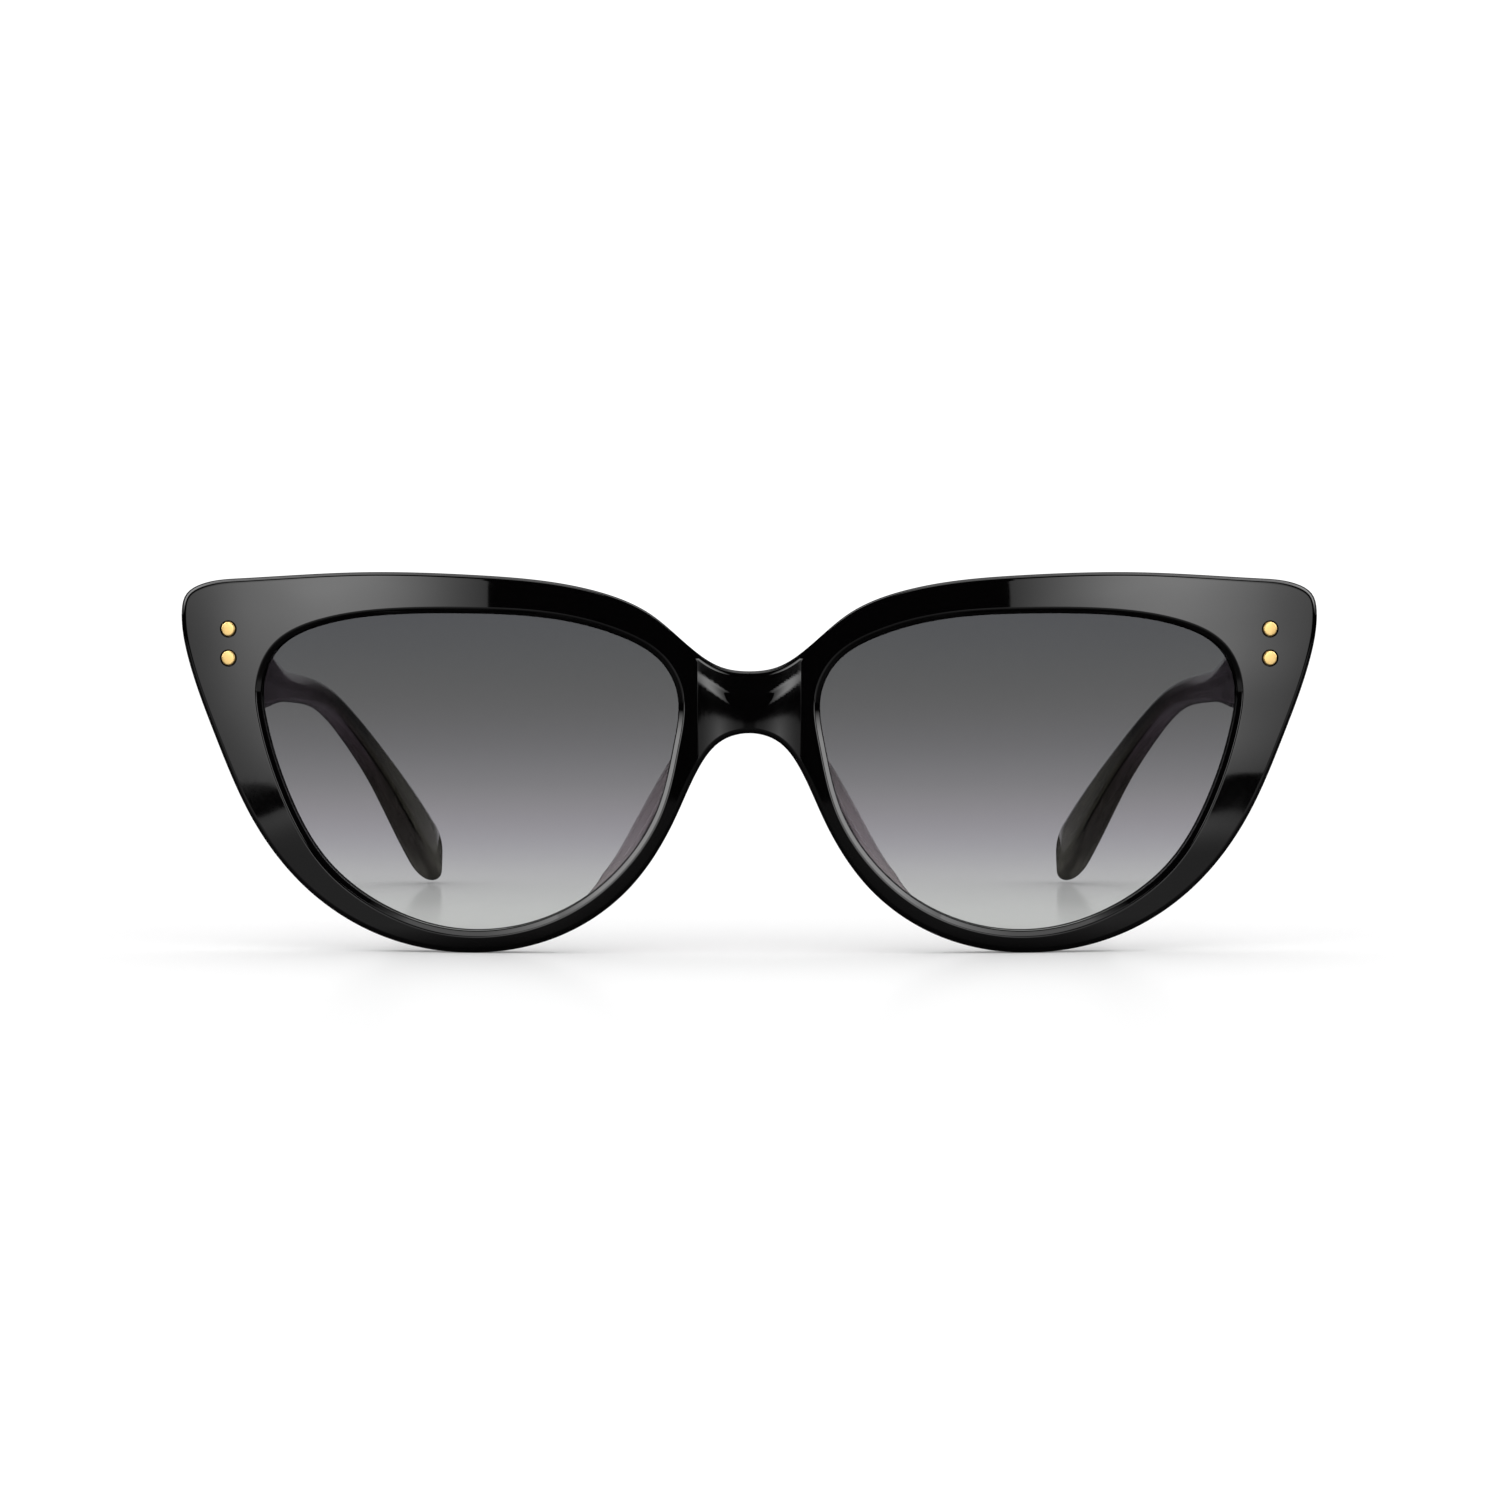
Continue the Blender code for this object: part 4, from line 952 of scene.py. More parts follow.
def build_lens(name, side, material):
    """Lens with a V edge in the rim's groove, domed a little towards the front."""
    loop = lens_outline(side)
    out = outward_normals(loop)
    centre = np.array([LENS_CENTRE[0] * side, LENS_CENTRE[1]])
    flat = loop - out * LENS_GAP
    apex = loop + out * (GROOVE_DEPTH - LENS_GAP)

    def face_rings(depth):
        found = []
        for k in range(LENS_RINGS, 0, -1):
            share = k / LENS_RINGS
            ring = centre + (flat - centre) * share
            found.append([lay(p, depth - LENS_DOME * (1 - share ** 2), False) for p in ring])
        return found

    edge = [lay(p, GROOVE_FRONT + GROOVE_WIDTH / 2, False) for p in apex]
    rings = face_rings(GROOVE_FRONT)[::-1] + [edge] + face_rings(GROOVE_FRONT + GROOVE_WIDTH)
    vertices, faces = bridge_rings(rings)
    make_piece(f"tinted_lens_{name}", vertices, faces, material, "front", (f"lens_{name}",),
               sharp=20.0)


# ---------------------------------------------------------------- nose pads

def build_nose_pad(name, side, material):
    """Nose pad: a smooth curved fin behind the inner side of the rim."""
    stations = np.array(PAD_STATIONS)
    travel = np.concatenate([[0], np.cumsum(np.linalg.norm(np.diff(stations[:, :2], axis=0), axis=1))])
    curve = cubic_through(travel, stations)
    section = np.array(PAD_SECTION)
    outline = cubic_through(np.arange(len(section)), section)
    places = np.linspace(0, len(section) - 1, PAD_SIDES)
    fine = [section[0]] + [outline(t) for t in places[1:-1]] + [section[-1]]
    rings = []
    for k in range(PAD_RINGS):
        place = travel[-1] * k / (PAD_RINGS - 1)
        x, z, height = curve(place)
        ahead = curve(min(place + PAD_STEP, travel[-1]))[:2] - curve(max(place - PAD_STEP, 0))[:2]
        inward = np.array([-ahead[1], ahead[0]]) / np.linalg.norm(ahead)
        height = max(height, PAD_LEAST_HEIGHT)
        swell = min(height / PAD_THIN_BELOW, 1.0)
        base = PAD_BASE_WIDTH / 2 * swell
        lean = PAD_SPLAY * height
        tip = PAD_TIP_WIDTH * swell
        middle = PAD_BASE_INSET + PAD_BASE_WIDTH / 2
        ring = []
        for of_base, of_lean, of_tip, of_height in fine:
            across = middle + of_base * base + of_lean * lean + of_tip * tip
            px, pz = np.array([x, z]) + inward * across
            ring.append((px, back_depth(px) + PAD_STANDOFF + max(of_height, 0.0) * height, pz))
        rings.append(ring)
    vertices, faces = bridge_rings(rings)
    make_piece(f"pad_{name}", mirrored(vertices, side), faces, material, "front", (f"nose_pad_{name}",),
               sharp=50.0)


# ---------------------------------------------------------------- temples

def temple_middle(y):
    """Plan position of the temple's middle: nearly straight, then bent in behind the ear."""
    reach = (y - TEMPLE_BEND_START) / TEMPLE_BEND_LENGTH
    bend = TEMPLE_BEND_LENGTH * math.log1p(math.exp(reach))
    return TEMPLE_X - TEMPLE_TAPER * (y - TEMPLE_STATIONS[0][0]) - TEMPLE_BEND_SLOPE * bend


TEMPLE_CURVE = cubic_through([row[0] for row in TEMPLE_STATIONS], [row[1:] for row in TEMPLE_STATIONS])


def temple_at(y):
    """Level, upright height, thickness and roundness of the temple at a depth."""
    top, bottom, thickness, roundness = TEMPLE_CURVE(y)
    return (top + bottom) / 2, top - bottom, thickness, min(max(roundness, 0.0), 1.0)


def temple_plate_x():
    """Inner side of the temple's hinge plate, which stands a little proud of the temple."""
    y = axis_place()[1] + TEMPLE_RIVET_BACK
    return temple_middle(y) - temple_at(y)[2] / 2 - TEMPLE_PLATE_PROUD


def temple_frame(y):
    """Middle of the temple at a depth, and its unit directions across and up."""
    step = 0.5
    ahead, behind = [np.array([temple_middle(v), v, temple_at(v)[0]]) for v in (y + step, y - step)]
    along = (ahead - behind) / np.linalg.norm(ahead - behind)
    across = np.array([1.0, 0.0, 0.0])
    across = across - along * across.dot(along)
    across = across / np.linalg.norm(across)
    return np.array([temple_middle(y), y, temple_at(y)[0]]), across, np.cross(across, along)


def rounded_section(width, height, roundness):
    """Rounded rectangle of points about its middle."""
    radius = roundness * min(width, height) / 2
    x, z = width / 2 - radius, height / 2 - radius
    return round_corners([(x, z), (-x, z), (-x, -z), (x, -z)], radius, TEMPLE_CORNER_STEPS)


def temple_ring(y, shrink=1.0):
    """Section of the temple, square to its run, and its places in the grain."""
    middle, across, up = temple_frame(y)
    height, thickness, roundness = temple_at(y)[1:]
    upright = max(abs(up[2]), 0.5)
    section = rounded_section(thickness * shrink, height * upright * shrink, roundness)
    middle = middle - up * height * upright / 2 * TEMPLE_TIP_DROOP * (1 - shrink)
    return ([tuple(middle + across * a + up * b) for a, b in section],
            grain_places(section, y, thickness, height * upright))


def grain_places(section, y, thickness, height):
    """Places of a section in the grain: run (0 to 1), across (-1 inside to 1), up (-1 to 1)."""
    first, last = TEMPLE_STATIONS[0][0], TEMPLE_STATIONS[-1][0]
    run = (y - first) / (last - first)
    return [(run, 2 * a / thickness, 2 * b / height) for a, b in section]


def butt_ring(inset, behind):
    """Front end of the temple, mitred to lie just behind the endpiece."""
    y = TEMPLE_STATIONS[0][0]
    level, height, thickness, roundness = temple_at(y)
    section = rounded_section(thickness - 2 * inset, height - 2 * inset, roundness)
    return ([(temple_middle(y) + a, back_depth(temple_middle(y) + a) + TEMPLE_BUTT_GAP + behind, level + b)
             for a, b in section], grain_places(section, y, thickness, height))


def build_temple(name, side, material):
    """Temple: a tall blade at the hinge that narrows to a slim arm with a dropped, rounded tip."""
    start = back_depth(TEMPLE_X) + TEMPLE_BLADE_START
    end = TEMPLE_STATIONS[-1][0]
    rings = [butt_ring(inset, behind) for inset, behind in TEMPLE_BUTT]
    rings += [temple_ring(y) for y in np.linspace(start, end - TEMPLE_TIP_ROUND, TEMPLE_RINGS)]
    for k in range(1, TIP_RINGS + 1):
        angle = math.radians(TIP_LAST_ANGLE * k / TIP_RINGS)
        along, wide = (v ** (2 / TEMPLE_TIP_POWER) for v in (math.sin(angle), math.cos(angle)))
        rings.append(temple_ring(end - TEMPLE_TIP_ROUND * (1 - along), wide))
    vertices, faces = bridge_rings([ring for ring, places in rings])
    grain = [place for ring, places in rings for place in places] + [(0.0, 0.0, 0.0), (1.0, 0.0, 0.0)]
    make_piece(f"arm_{name}", mirrored(vertices, side), faces, material, f"{name}_temple",
               (f"temple_{name}",), sharp=40.0, grain=grain)


def build_core(name, side, material):
    """Core wire that stiffens the temple and shows through it."""
    rings = []
    for y in np.linspace(CORE_START, CORE_END, CORE_RINGS):
        middle, across, up = temple_frame(y)
        slim = 1.0 - CORE_SLIMMING * max(0.0, (y - CORE_END + CORE_TAPER) / CORE_TAPER)
        rings.append([middle + (across * math.cos(a) + up * math.sin(a)) * CORE_RADIUS * slim
                      for a in angles(WIRE_SIDES, 0.5)])
    vertices, faces = bridge_rings(rings)
    make_piece(f"wire_{name}", mirrored(vertices, side), faces, material, f"{name}_temple",
               (f"temple_core_{name}",))


# ---------------------------------------------------------------- rivets and hinges

def rivet_profile(length):
    """Profile of a rivet: nearly flat head with a rounded edge, step and shank; (radius, depth) pairs."""
    head = RIVET_HEAD_RADIUS
    bend = RIVET_HEAD_EDGE
    flat = [((head - bend) * k / 4, -RIVET_PROUD + RIVET_CROWN * (k / 4) ** 2) for k in range(1, 5)]
    lift = flat[-1][1]
    turns = [math.radians(a) for a in (12, 28, 44, 60, 76, 90)]
    edge = [(head - bend + bend * math.sin(a), lift + bend * (1 - math.cos(a))) for a in turns]
    return flat + edge + [(head, RIVET_RIM), (head, RIVET_HEAD_DEPTH),
                          (RIVET_SHANK_RADIUS, RIVET_HEAD_DEPTH),
                          (RIVET_SHANK_RADIUS, length - RIVET_TAIL_EDGE),
                          (RIVET_SHANK_RADIUS - RIVET_TAIL_EDGE, length)]


def build_rivets(name, side, material):
    """The four rivets of one side."""
    slope = bow_slope(RIVET_X)
    length = FRONT_THICKNESS * math.cos(math.atan(slope)) - RIVET_END_GAP
    words = ("upper", "lower")
    for word, level in zip(words, rivet_levels(RIVET_SPACING)):
        body = turned(rivet_profile(length), RIVET_SIDES, (RIVET_X, front_depth(RIVET_X), level),
                      (-slope, 1.0, 0.0))
        make_piece(f"front_pin_{word}_{name}", mirrored(body[0], side), body[1], material, "front",
                   (f"front_rivet_{word}_{name}",), sharp=50.0)
    y = axis_place()[1] + TEMPLE_RIVET_BACK
    outer = temple_middle(y) + temple_at(y)[2] / 2
    length = outer - temple_plate_x() - RIVET_END_GAP
    for word, level in zip(words, rivet_levels(TEMPLE_RIVET_SPACING)):
        body = turned(rivet_profile(length), RIVET_SIDES, (outer, y, level), (-1.0, 0.0, 0.0))
        make_piece(f"temple_pin_{word}_{name}", mirrored(body[0], side), body[1], material,
                   f"{name}_temple", (f"temple_rivet_{word}_{name}",), sharp=50.0)


def carve(body, tools):
    """Join closed bodies to a body or cut them from it, in order; tools are (operation, body) pairs."""
    def link(vertices, faces):
        """Put one closed body in the scene for the time of the carving."""
        mesh = bpy.data.meshes.new("blank")
        mesh.from_pydata([tuple(v) for v in vertices], [], faces)
        turn_outwards(mesh)
        return add_object("blank", mesh)

    target = link(*body)
    blanks = [target]
    for operation, tool in tools:
        modifier = target.modifiers.new("carve", "BOOLEAN")
        modifier.operation = operation
        modifier.solver = "MANIFOLD"
        blanks.append(link(*tool))
        modifier.object = blanks[-1]
    bpy.context.view_layer.update()
    carved = target.evaluated_get(bpy.context.evaluated_depsgraph_get()).to_mesh()
    result = [tuple(v.co) for v in carved.vertices], [tuple(f.vertices) for f in carved.polygons]
    for blank in blanks:
        bpy.data.objects.remove(blank)
    return result


def soft_block(outline, low, high, place):
    """Block over an outline from one depth to another, with rounded edges all round both of its faces.

    place turns an outline point and a depth into a layout point."""
    loop = counter_clockwise(np.array(outline, float))
    out = outward_normals(loop)
    edge = [(HINGE_EDGE * (1 - math.sin(a)), HINGE_EDGE * (1 - math.cos(a))) for a in QUARTER_TURNS]
    rows = [(inset, low + depth) for inset, depth in edge]
    rows += [(inset, high - depth) for inset, depth in edge[::-1]]
    return bridge_rings([[place(p, depth) for p in loop - out * inset] for inset, depth in rows])


def knuckle_levels():
    """Lowest and highest level of each knuckle, from the bottom."""
    pitch = KNUCKLE_HEIGHT + KNUCKLE_GAP
    start = HINGE_Z - (KNUCKLE_COUNT * pitch - KNUCKLE_GAP) / 2
    return [(start + k * pitch, start + k * pitch + KNUCKLE_HEIGHT) for k in range(KNUCKLE_COUNT)]


def knuckles(foot, first):
    """Every second knuckle from the first: round eyes on the screw that run over into their feet."""
    ax, ay = axis_place()
    start = math.atan2(foot[-1][1], foot[-1][0])
    sweep = (math.atan2(foot[0][1], foot[0][0]) - start) % (2 * math.pi)
    turns = [start + sweep * k / KNUCKLE_SIDES for k in range(1, KNUCKLE_SIDES)]
    eye = [(KNUCKLE_RADIUS * math.cos(a), KNUCKLE_RADIUS * math.sin(a)) for a in turns]
    plan = [(ax + x, ay + y) for x, y in list(foot) + eye]
    return [soft_block(plan, low, high, lambda p, level: (p[0], p[1], level))
            for low, high in knuckle_levels()[first::2]]


def screw_hole():
    """Hole through all knuckles."""
    levels = knuckle_levels()
    return turned([(KNUCKLE_HOLE, levels[0][0] - 1.0), (KNUCKLE_HOLE, levels[-1][1] + 1.0)], KNUCKLE_SIDES,
                  (*axis_place(), 0.0), (0.0, 0.0, 1.0))


def rivet_holes(spacing, place, axis):
    """Holes for the shanks of the two rivets; place is the head's middle in plan."""
    radius = RIVET_SHANK_RADIUS + RIVET_CLEARANCE
    start, end = RIVET_HOLE
    return [turned([(radius, RIVET_HEAD_DEPTH + start), (radius, end)], WIRE_SIDES * 2, (*place, level),
                   axis) for level in rivet_levels(spacing)]


def make_leaf(name, node, rides_on, side, plate, foot, first, holes, material):
    """Hinge leaf: a plate with every second knuckle joined to it, bored for the screw and the rivets."""
    tools = [("UNION", knuckle) for knuckle in knuckles(foot, first)]
    tools += [("DIFFERENCE", hole) for hole in [screw_hole()] + holes]
    vertices, faces = carve(plate, tools)
    make_piece(name, mirrored(vertices, side), faces, material, rides_on, (node,),
               sharp=30.0)


def build_front_leaf(name, side, material):
    """Fixed hinge leaf: a plate with rounded corners let into the endpiece, and three knuckles."""
    low, high = FRONT_PLATE_SPAN
    half = FRONT_PLATE_HEIGHT / 2
    outline = rounded_box((low, HINGE_Z - half), (high, HINGE_Z + half), PLATE_CORNER)
    plate = soft_block(outline, PLATE_RECESS, PLATE_RECESS + PLATE_THICKNESS,
                       lambda p, depth: (*endpiece_point(p[0], -depth), p[1]))
    turn = Matrix.Rotation(math.atan(bow_slope(FRONT_PLATE_X)), 2)
    sunk = -HINGE_STANDOFF - FRONT_FOOT_SINK
    corners = [(-KNUCKLE_RADIUS, 0.0), (FRONT_FOOT_SPAN[0], sunk), (FRONT_FOOT_SPAN[1], sunk),
               (0.0, -KNUCKLE_RADIUS)]
    foot = [tuple(turn @ Vector(c)) for c in corners]
    slope = bow_slope(RIVET_X)
    holes = rivet_holes(RIVET_SPACING, (RIVET_X, front_depth(RIVET_X)), (-slope, 1.0, 0.0))
    make_leaf(f"fixed_leaf_{name}", f"hinge_front_leaf_{name}", "front", side, plate, foot, 0, holes,
              material)


def build_temple_leaf(name, side, material):
    """Moving hinge leaf: a plate with rounded corners let into the temple, and two knuckles."""
    ax, ay = axis_place()
    inner = temple_plate_x()
    half = TEMPLE_PLATE_HEIGHT / 2
    start = ay + TEMPLE_PLATE_START
    outline = rounded_box((start, HINGE_Z - half), (start + TEMPLE_PLATE_LENGTH, HINGE_Z + half),
                          PLATE_CORNER)
    plate = soft_block(outline, 0.0, PLATE_THICKNESS, lambda p, depth: (inner + depth, p[0], p[1]))
    sunk = inner - ax + TEMPLE_FOOT_SINK
    near, far = [TEMPLE_PLATE_START + along for along in TEMPLE_FOOT_SPAN]
    foot = [TEMPLE_FOOT_SIDE, (sunk, near), (sunk, far), (0.0, KNUCKLE_RADIUS)]
    y = ay + TEMPLE_RIVET_BACK
    outer = temple_middle(y) + temple_at(y)[2] / 2
    holes = rivet_holes(TEMPLE_RIVET_SPACING, (outer, y), (-1.0, 0.0, 0.0))
    make_leaf(f"moving_leaf_{name}", f"hinge_temple_leaf_{name}", f"{name}_temple", side, plate, foot, 1,
              holes, material)


def build_screw(name, side, material):
    """Hinge screw: a slotted head with a rounded edge on a plain shank."""
    levels = knuckle_levels()
    low = levels[0][0] - SCREW_TAIL
    seat = levels[-1][1] + KNUCKLE_GAP
    top = seat + SCREW_HEAD_HEIGHT
    head = SCREW_HEAD_RADIUS
    edge = [(head - SCREW_HEAD_EDGE * (1 - math.cos(a)), top - SCREW_HEAD_EDGE * (1 - math.sin(a)))
            for a in QUARTER_TURNS]
    profile = [(SCREW_RADIUS * SCREW_TAIL_SHARE, low), (SCREW_RADIUS, low + SCREW_TAIL),
               (SCREW_RADIUS, seat), (head - SCREW_SEAT_EDGE, seat), (head, seat + SCREW_SEAT_EDGE)] + edge
    ax, ay = axis_place()
    screw = turned(profile, RIVET_SIDES, (ax, ay, 0.0), (0.0, 0.0, 1.0))
    width, depth = SCREW_SLOT
    reach = SCREW_SLOT_REACH
    corners = [(ax - reach, ay - width / 2), (ax + reach, ay - width / 2), (ax + reach, ay + width / 2),
               (ax - reach, ay + width / 2)]
    slot = bridge_rings([[(x, y, level) for x, y in corners] for level in (top - depth, top + 1)])
    vertices, faces = carve(screw, [("DIFFERENCE", slot)])
    make_piece(f"slotted_screw_{name}", mirrored(vertices, side), faces, material, "front",
               (f"hinge_screw_{name}",), sharp=30.0)


# ---------------------------------------------------------------- assembly of the object

ACETATE = black_acetate()
LENS = graduated_lens()
HORN = smoky_horn()
PAD = pad_acetate()
GOLD = plated_gold()
HINGE = brushed_metal("nickel_silver", (0.36, 0.34, 0.30), (0.62, 0.60, 0.55), (0.22, 0.42),
                      (300.0, 300.0, 2600.0))
SCREW = brushed_metal("turned_steel", (0.40, 0.40, 0.39), (0.68, 0.68, 0.67), (0.16, 0.32),
                      (2500.0, 2500.0, 300.0))
WIRE = brushed_metal("drawn_wire", (0.25, 0.25, 0.24), (0.50, 0.50, 0.48), (0.25, 0.45),
                     (1200.0, 60.0, 1200.0))

build_front(ACETATE)
for side_name, hand in SIDES.items():
    build_lens(side_name, hand, LENS)
    build_nose_pad(side_name, hand, PAD)
    build_temple(side_name, hand, HORN)
    build_core(side_name, hand, WIRE)
    build_rivets(side_name, hand, GOLD)
    build_front_leaf(side_name, hand, HINGE)
    build_temple_leaf(side_name, hand, HINGE)
    build_screw(side_name, hand, SCREW)


# ---------------------------------------------------------------- stage, light and camera

FRONT_MIDDLE = (0.0, -0.066, 0.0)
FLOOR_HALF = 6.0
FLOOR_LEVEL = -0.00002
FLOOR_GLOW = 0.9
FLOOR_GLOW_SHARE = 0.15
FLOOR_GLOSS_SHARE = 0.07
FLOOR_GLOSS_ROUGHNESS = 0.12
# The floor under the temple tips is glossier: its share there, and where that is along Y and beside X = 0.
TIP_GLOSS_SHARE = 0.24
TIP_GLOSS_Y = (-0.02, 0.03, 0.08, 0.12)
TIP_GLOSS_X = (0.02, 0.04, 0.06, 0.09)
# Painted pool of light on the floor in mirror rays, before each softbox: its middle, reach, strength and
# end.
POOL_CENTRE = (0.19, -0.366, 0.0)
POOL_REACH = 0.15
POOL_STRENGTH = 1.5
POOL_END = 0.405
POOL_END_FADE = 0.008
STUDIO_WHITE = 1.15
STUDIO_SIDES = 4.8
STUDIO_TOP = 0.4
STUDIO_BACK = 0.3
# Bright strips of the mirrored studio: half width low and high up, soft edge, rise above the horizon and
# fall towards the ceiling, all as parts of a unit direction.
STRIP_WIDTH = (0.20, 0.42)
STRIP_EDGE = 0.07
STRIP_RISE = 0.16
STRIP_FALL = (0.70, 0.97)
BACK_RISE = 0.4
PATCH_EDGE = (0.90, 0.94)
# Painted light and shade of the floor in mirror rays, beside the object: its painted brightness near and
# far, and the distances aside; the part left of it behind the front, a painted shadow, and how fast that
# comes in.
ASIDE_LIGHT = (0.11, 0.40)
ASIDE_REACH = (0.032, 0.065)
BEHIND_PAINTED_SHADE_SHARE = 0.1
BEHIND_FADE = 0.05
PANEL_ANGLE = 36.0
PANEL_DISTANCE = 0.47
PANEL_SIZE = (0.30, 0.35)
PANEL_INNER = 0.128
PANEL_FOOT = 0.002
PANEL_SPREAD = 0.07
PANEL_FOOT_SHARE = 0.32
PANEL_FADE = 0.043
PANEL_STRENGTH = 4.6
FLAG_OUTLINE = [
    (-0.11, 0.036), (-0.05, 0.036), (-0.05, 0.0515), (-0.0663, 0.0515), (-0.0668, 0.07), (-0.0685, 0.10),
    (-0.0695, 0.36), (-0.11, 0.36),
]
FLAG_FADE = (0.16, 0.36)
TOP_LIGHT_SIZE = (1.2, 0.8)
TOP_LIGHT_STRENGTH = 1.3
TOP_LIGHT_PLACE = (0.0, -0.05, 0.9)
CAMERA_PLACE = (0.0, -600.0, 46.8)
CAMERA_TILT = 2.048
CAMERA_LENS = 116.4
CAMERA_SENSOR = 36.0
CAMERA_SHIFT = 0.0005


def distance_from(tree, place, centre):
    """Distance of a place from a centre."""
    return add_node(tree, "VectorMath", {0: place, 1: centre},
                    operation="DISTANCE").outputs["Value"]


def mirror_ray(tree):
    """1 for a mirror ray, 0 for light that passes through a translucent piece and for all else."""
    path = add_node(tree, "LightPath").outputs
    return calculate(tree, "SUBTRACT", path["Is Glossy Ray"], path["Is Transmission Ray"], clamp=True)


def mirrored_floor_painted_light(tree, place):
    """Brightness painted on the floor for mirror rays: painted shade by the object, and a painted pool of
    light before each softbox.
    """
    x, y, z = split(tree, place)
    aside = calculate(tree, "ABSOLUTE", x)
    folded = add_node(tree, "CombineXYZ", {"X": aside, "Y": y}).outputs[0]
    shade = spread(tree, y, BEHIND_PAINTED_SHADE_SHARE, 1.0, FRONT_MIDDLE[1], FRONT_MIDDLE[1] - BEHIND_FADE)
    base = times(tree, spread(tree, aside, *ASIDE_LIGHT, *ASIDE_REACH), shade)
    nearness = spread(tree, distance_from(tree, folded, POOL_CENTRE), 1.0, 0.0, 0.0, POOL_REACH)
    pool = times(tree, nearness, nearness, POOL_STRENGTH)
    reach = spread(tree, distance_from(tree, place, FRONT_MIDDLE), 1.0, 0.0, POOL_END - POOL_END_FADE,
                   POOL_END)
    return times(tree, calculate(tree, "ADD", base, pool), reach)


def add_sheet(name, corners, material):
    """Make a flat piece of the stage."""
    mesh = bpy.data.meshes.new(name)
    mesh.from_pydata(corners, [], [tuple(range(len(corners)))])
    mesh.materials.append(material)
    return add_object(name, mesh)


def build_floor():
    """White floor with a faint gloss. Mirror rays see it as the floor of a dark studio, with painted pools
    of light and painted shade by the object.
    """
    material, tree, shader, place = new_material("white_floor")
    set_inputs(tree, shader, {"Base Color": (0.97, 0.97, 0.97, 1.0), "Roughness": 0.9,
                              "Specular IOR Level": 0.0})
    glow = add_node(tree, "Emission", {"Strength": FLOOR_GLOW})
    gloss = add_node(tree, "BsdfGlossy", {"Roughness": FLOOR_GLOSS_ROUGHNESS})
    x, y, z = split(tree, place)
    under_tips = times(tree, between(tree, y, *TIP_GLOSS_Y),
                       between(tree, calculate(tree, "ABSOLUTE", x), *TIP_GLOSS_X))
    share = spread(tree, under_tips, FLOOR_GLOSS_SHARE, TIP_GLOSS_SHARE)
    seen = mix_shaders(tree, share, mix_shaders(tree, FLOOR_GLOW_SHARE, shader, glow), gloss)
    # Painted light and shade of the floor, seen by mirror rays only.
    dark = add_node(tree, "Emission", {"Strength": mirrored_floor_painted_light(tree, place)})
    set_surface(tree, mix_shaders(tree, mirror_ray(tree), seen, dark))
    corners = [(x * FLOOR_HALF, y * FLOOR_HALF, 0.0) for x, y in ((-1, -1), (1, -1), (1, 1), (-1, 1))]
    floor = add_sheet("floor", corners, material)
    floor.location.z = FLOOR_LEVEL


def build_world():
    """White surroundings. Mirror rays see a dark studio, with a bright strip on each side of the object,
    a broad bright ceiling, a dim wall behind and a white patch straight behind the object."""
    world = bpy.data.worlds.new("studio")
    bpy.context.scene.world = world
    world.use_nodes = True
    tree = world.node_tree
    x, y, z = split(tree, add_node(tree, "TexCoord").outputs["Generated"])
    closeness = calculate(tree, "SUBTRACT", spread(tree, z, *STRIP_WIDTH), calculate(tree, "ABSOLUTE", y))
    strip = times(tree, spread(tree, closeness, 0.0, 1.0, 0.0, STRIP_EDGE),
                  spread(tree, z, 0.0, 1.0, 0.0, STRIP_RISE),
                  spread(tree, z, STUDIO_SIDES, STUDIO_TOP, *STRIP_FALL))
    wall = spread(tree, y, 0.0, STUDIO_BACK, 0.0, BACK_RISE)
    patch = spread(tree, y, 0.0, STUDIO_WHITE, *PATCH_EDGE)
    mirror = calculate(tree, "ADD", calculate(tree, "ADD", strip, wall), patch)
    plain = add_node(tree, "Mix", {"Factor": mirror_ray(tree), "A": STUDIO_WHITE, "B": mirror})
    set_inputs(tree, tree.nodes["Background"], {"Strength": plain.outputs["Result"],
                                                "Color": (1.0, 1.0, 1.0, 1.0)})


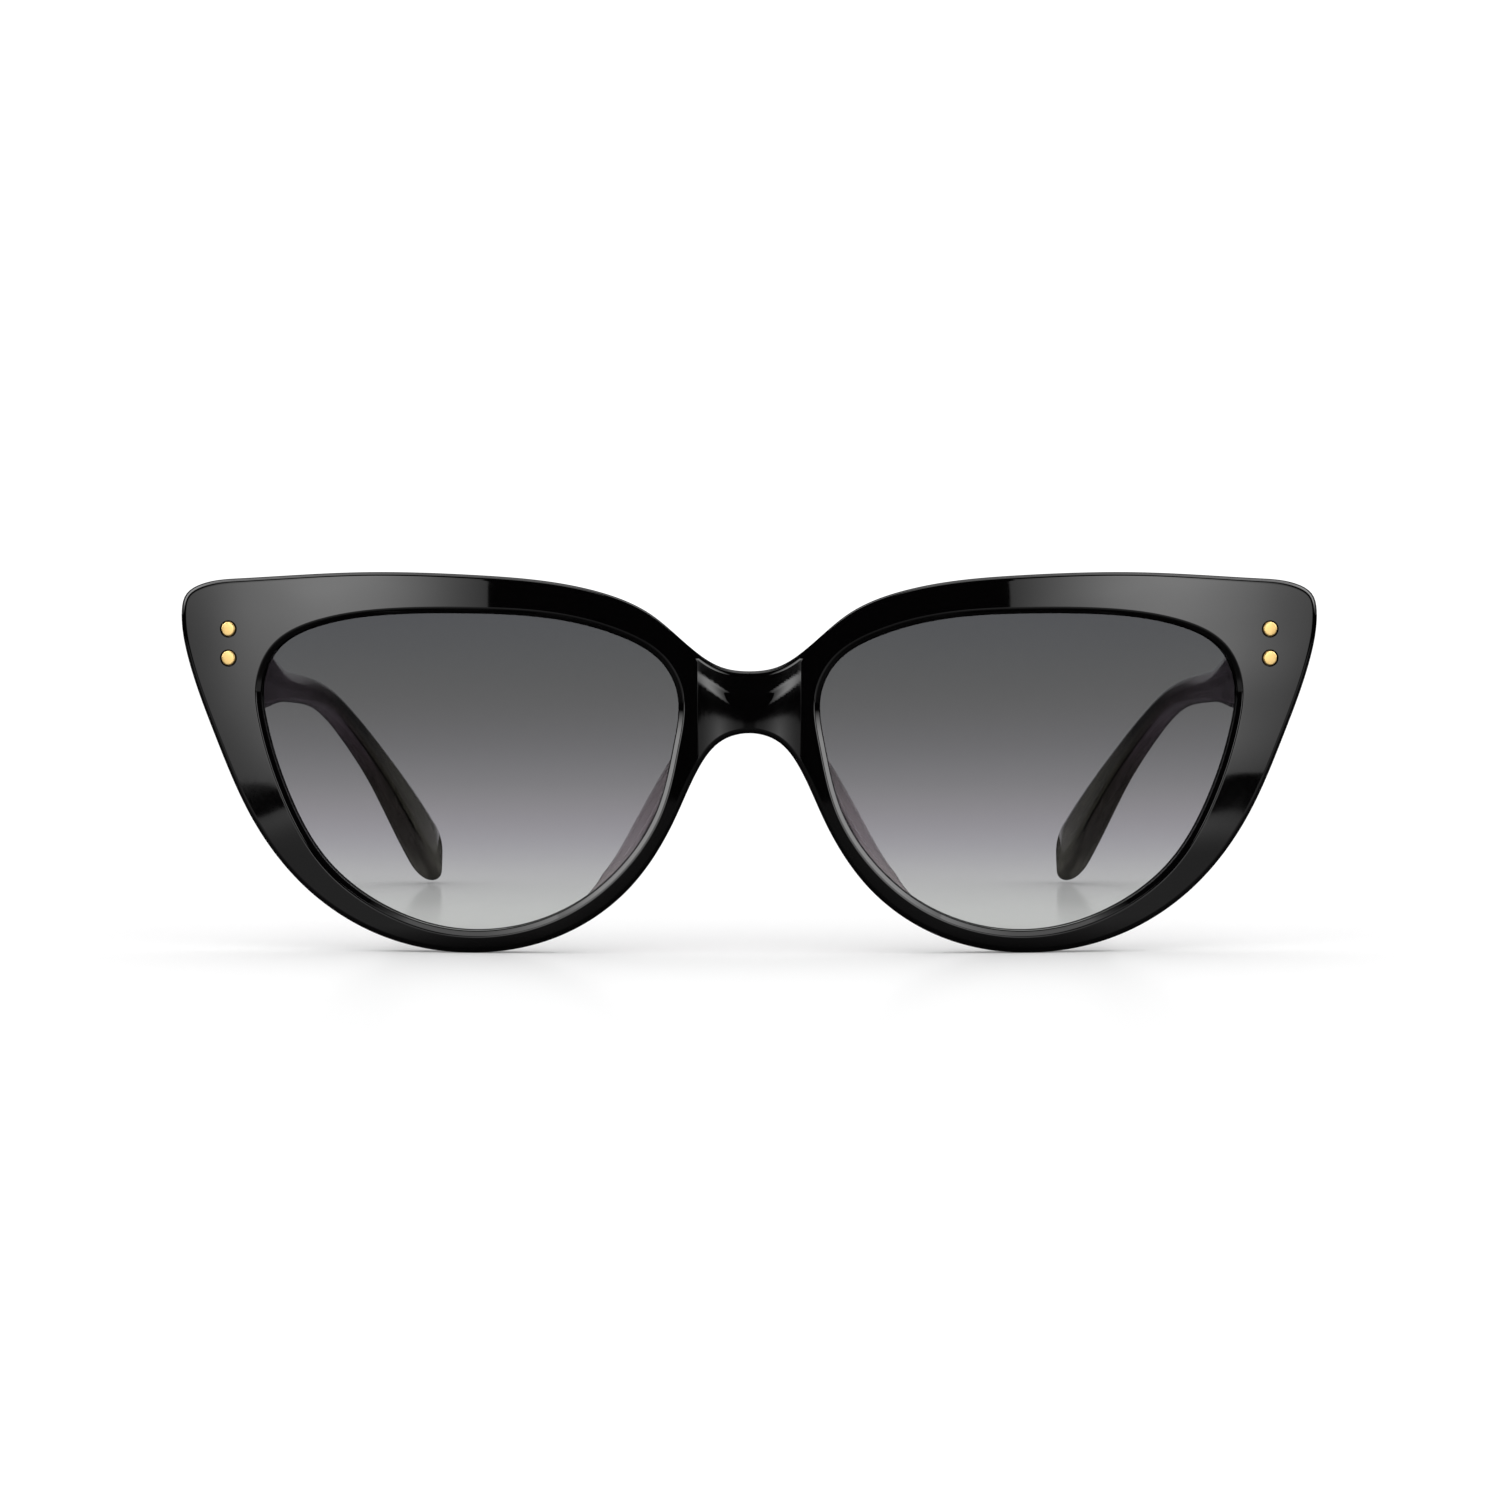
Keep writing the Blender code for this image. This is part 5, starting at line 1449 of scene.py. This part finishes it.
def add_panel(name, side):
    """Softbox panel beside the camera, brightest in its middle and fading towards its foot and sides."""
    material, tree, shader, place = new_material(name)
    x, y, z = split(tree, place)
    aside = times(tree, x, 1.0 / PANEL_SPREAD)
    bell = calculate(tree, "POWER", math.e, times(tree, aside, aside, -0.5))
    upward = spread(tree, z, PANEL_FOOT_SHARE, 1.0, 0.0, PANEL_FADE)
    glow = add_node(tree, "Emission", {"Strength": times(tree, bell, upward, PANEL_STRENGTH)})
    set_surface(tree, glow)
    inner, outer = -PANEL_INNER, PANEL_SIZE[0] - PANEL_INNER
    low, high = PANEL_FOOT, PANEL_FOOT + PANEL_SIZE[1]
    panel = add_sheet(name, [(inner, 0.0, low), (outer, 0.0, low), (outer, 0.0, high), (inner, 0.0, high)],
                      material)
    angle = math.radians(PANEL_ANGLE * side)
    panel.location = (FRONT_MIDDLE[0] + PANEL_DISTANCE * math.sin(angle),
                      FRONT_MIDDLE[1] - PANEL_DISTANCE * math.cos(angle), 0.0)
    panel.scale.x = side
    panel.rotation_euler = (0.0, 0.0, angle)
    hide_from_all_but_mirrors(panel)


def add_flag():
    """Black flag over the middle of the front: keeps the rims dark on their inner edge."""
    material, tree, shader, place = new_material("flag_cloth")
    set_inputs(tree, shader, {"Base Color": (0.002, 0.002, 0.002, 1.0), "Specular IOR Level": 0.0,
                              "Roughness": spread(tree, noise(tree, place, 2000.0), 0.9, 1.0)})
    fade = spread(tree, split(tree, place)["Z"], 0.0, 1.0, *FLAG_FADE)
    set_surface(tree, mix_shaders(tree, fade, shader, add_node(tree, "BsdfTransparent")))
    hide_from_all_but_mirrors(add_sheet("black_flag", [(0.0, y, z) for y, z in FLAG_OUTLINE], material))


def hide_from_all_but_mirrors(piece):
    """Make a stage piece show in mirror rays only."""
    piece.visible_camera = False
    piece.visible_diffuse = False
    piece.visible_transmission = False
    piece.visible_shadow = False


def build_lights():
    """Two softbox panels, which the bowed face mirrors, a black flag and a soft light overhead."""
    for name, side in SIDES.items():
        add_panel(f"panel_{name}", side)
    add_flag()
    light = bpy.data.lights.new("top_softbox", "AREA")
    light.shape = "RECTANGLE"
    light.size, light.size_y = TOP_LIGHT_SIZE
    light.energy = TOP_LIGHT_STRENGTH * light.size * light.size_y * math.pi
    lamp = add_object("top_softbox", light)
    lamp.location = TOP_LIGHT_PLACE
    lamp.visible_camera = False
    lamp.visible_diffuse = False
    lamp.visible_transmission = False


def build_camera():
    """Long lens, nearly level, straight in front."""
    data = bpy.data.cameras.new("camera")
    data.sensor_width = CAMERA_SENSOR
    data.lens = CAMERA_LENS
    data.clip_start = 0.01
    data.dof.use_dof = False
    data.shift_x = CAMERA_SHIFT
    camera = add_object("camera", data)
    camera.location = to_row(CAMERA_PLACE)
    camera.rotation_euler = (math.radians(90.0 - CAMERA_TILT), 0.0, 0.0)
    bpy.context.scene.camera = camera


build_floor()
build_world()
build_lights()
build_camera()
bpy.context.scene.view_settings.view_transform = "Standard"
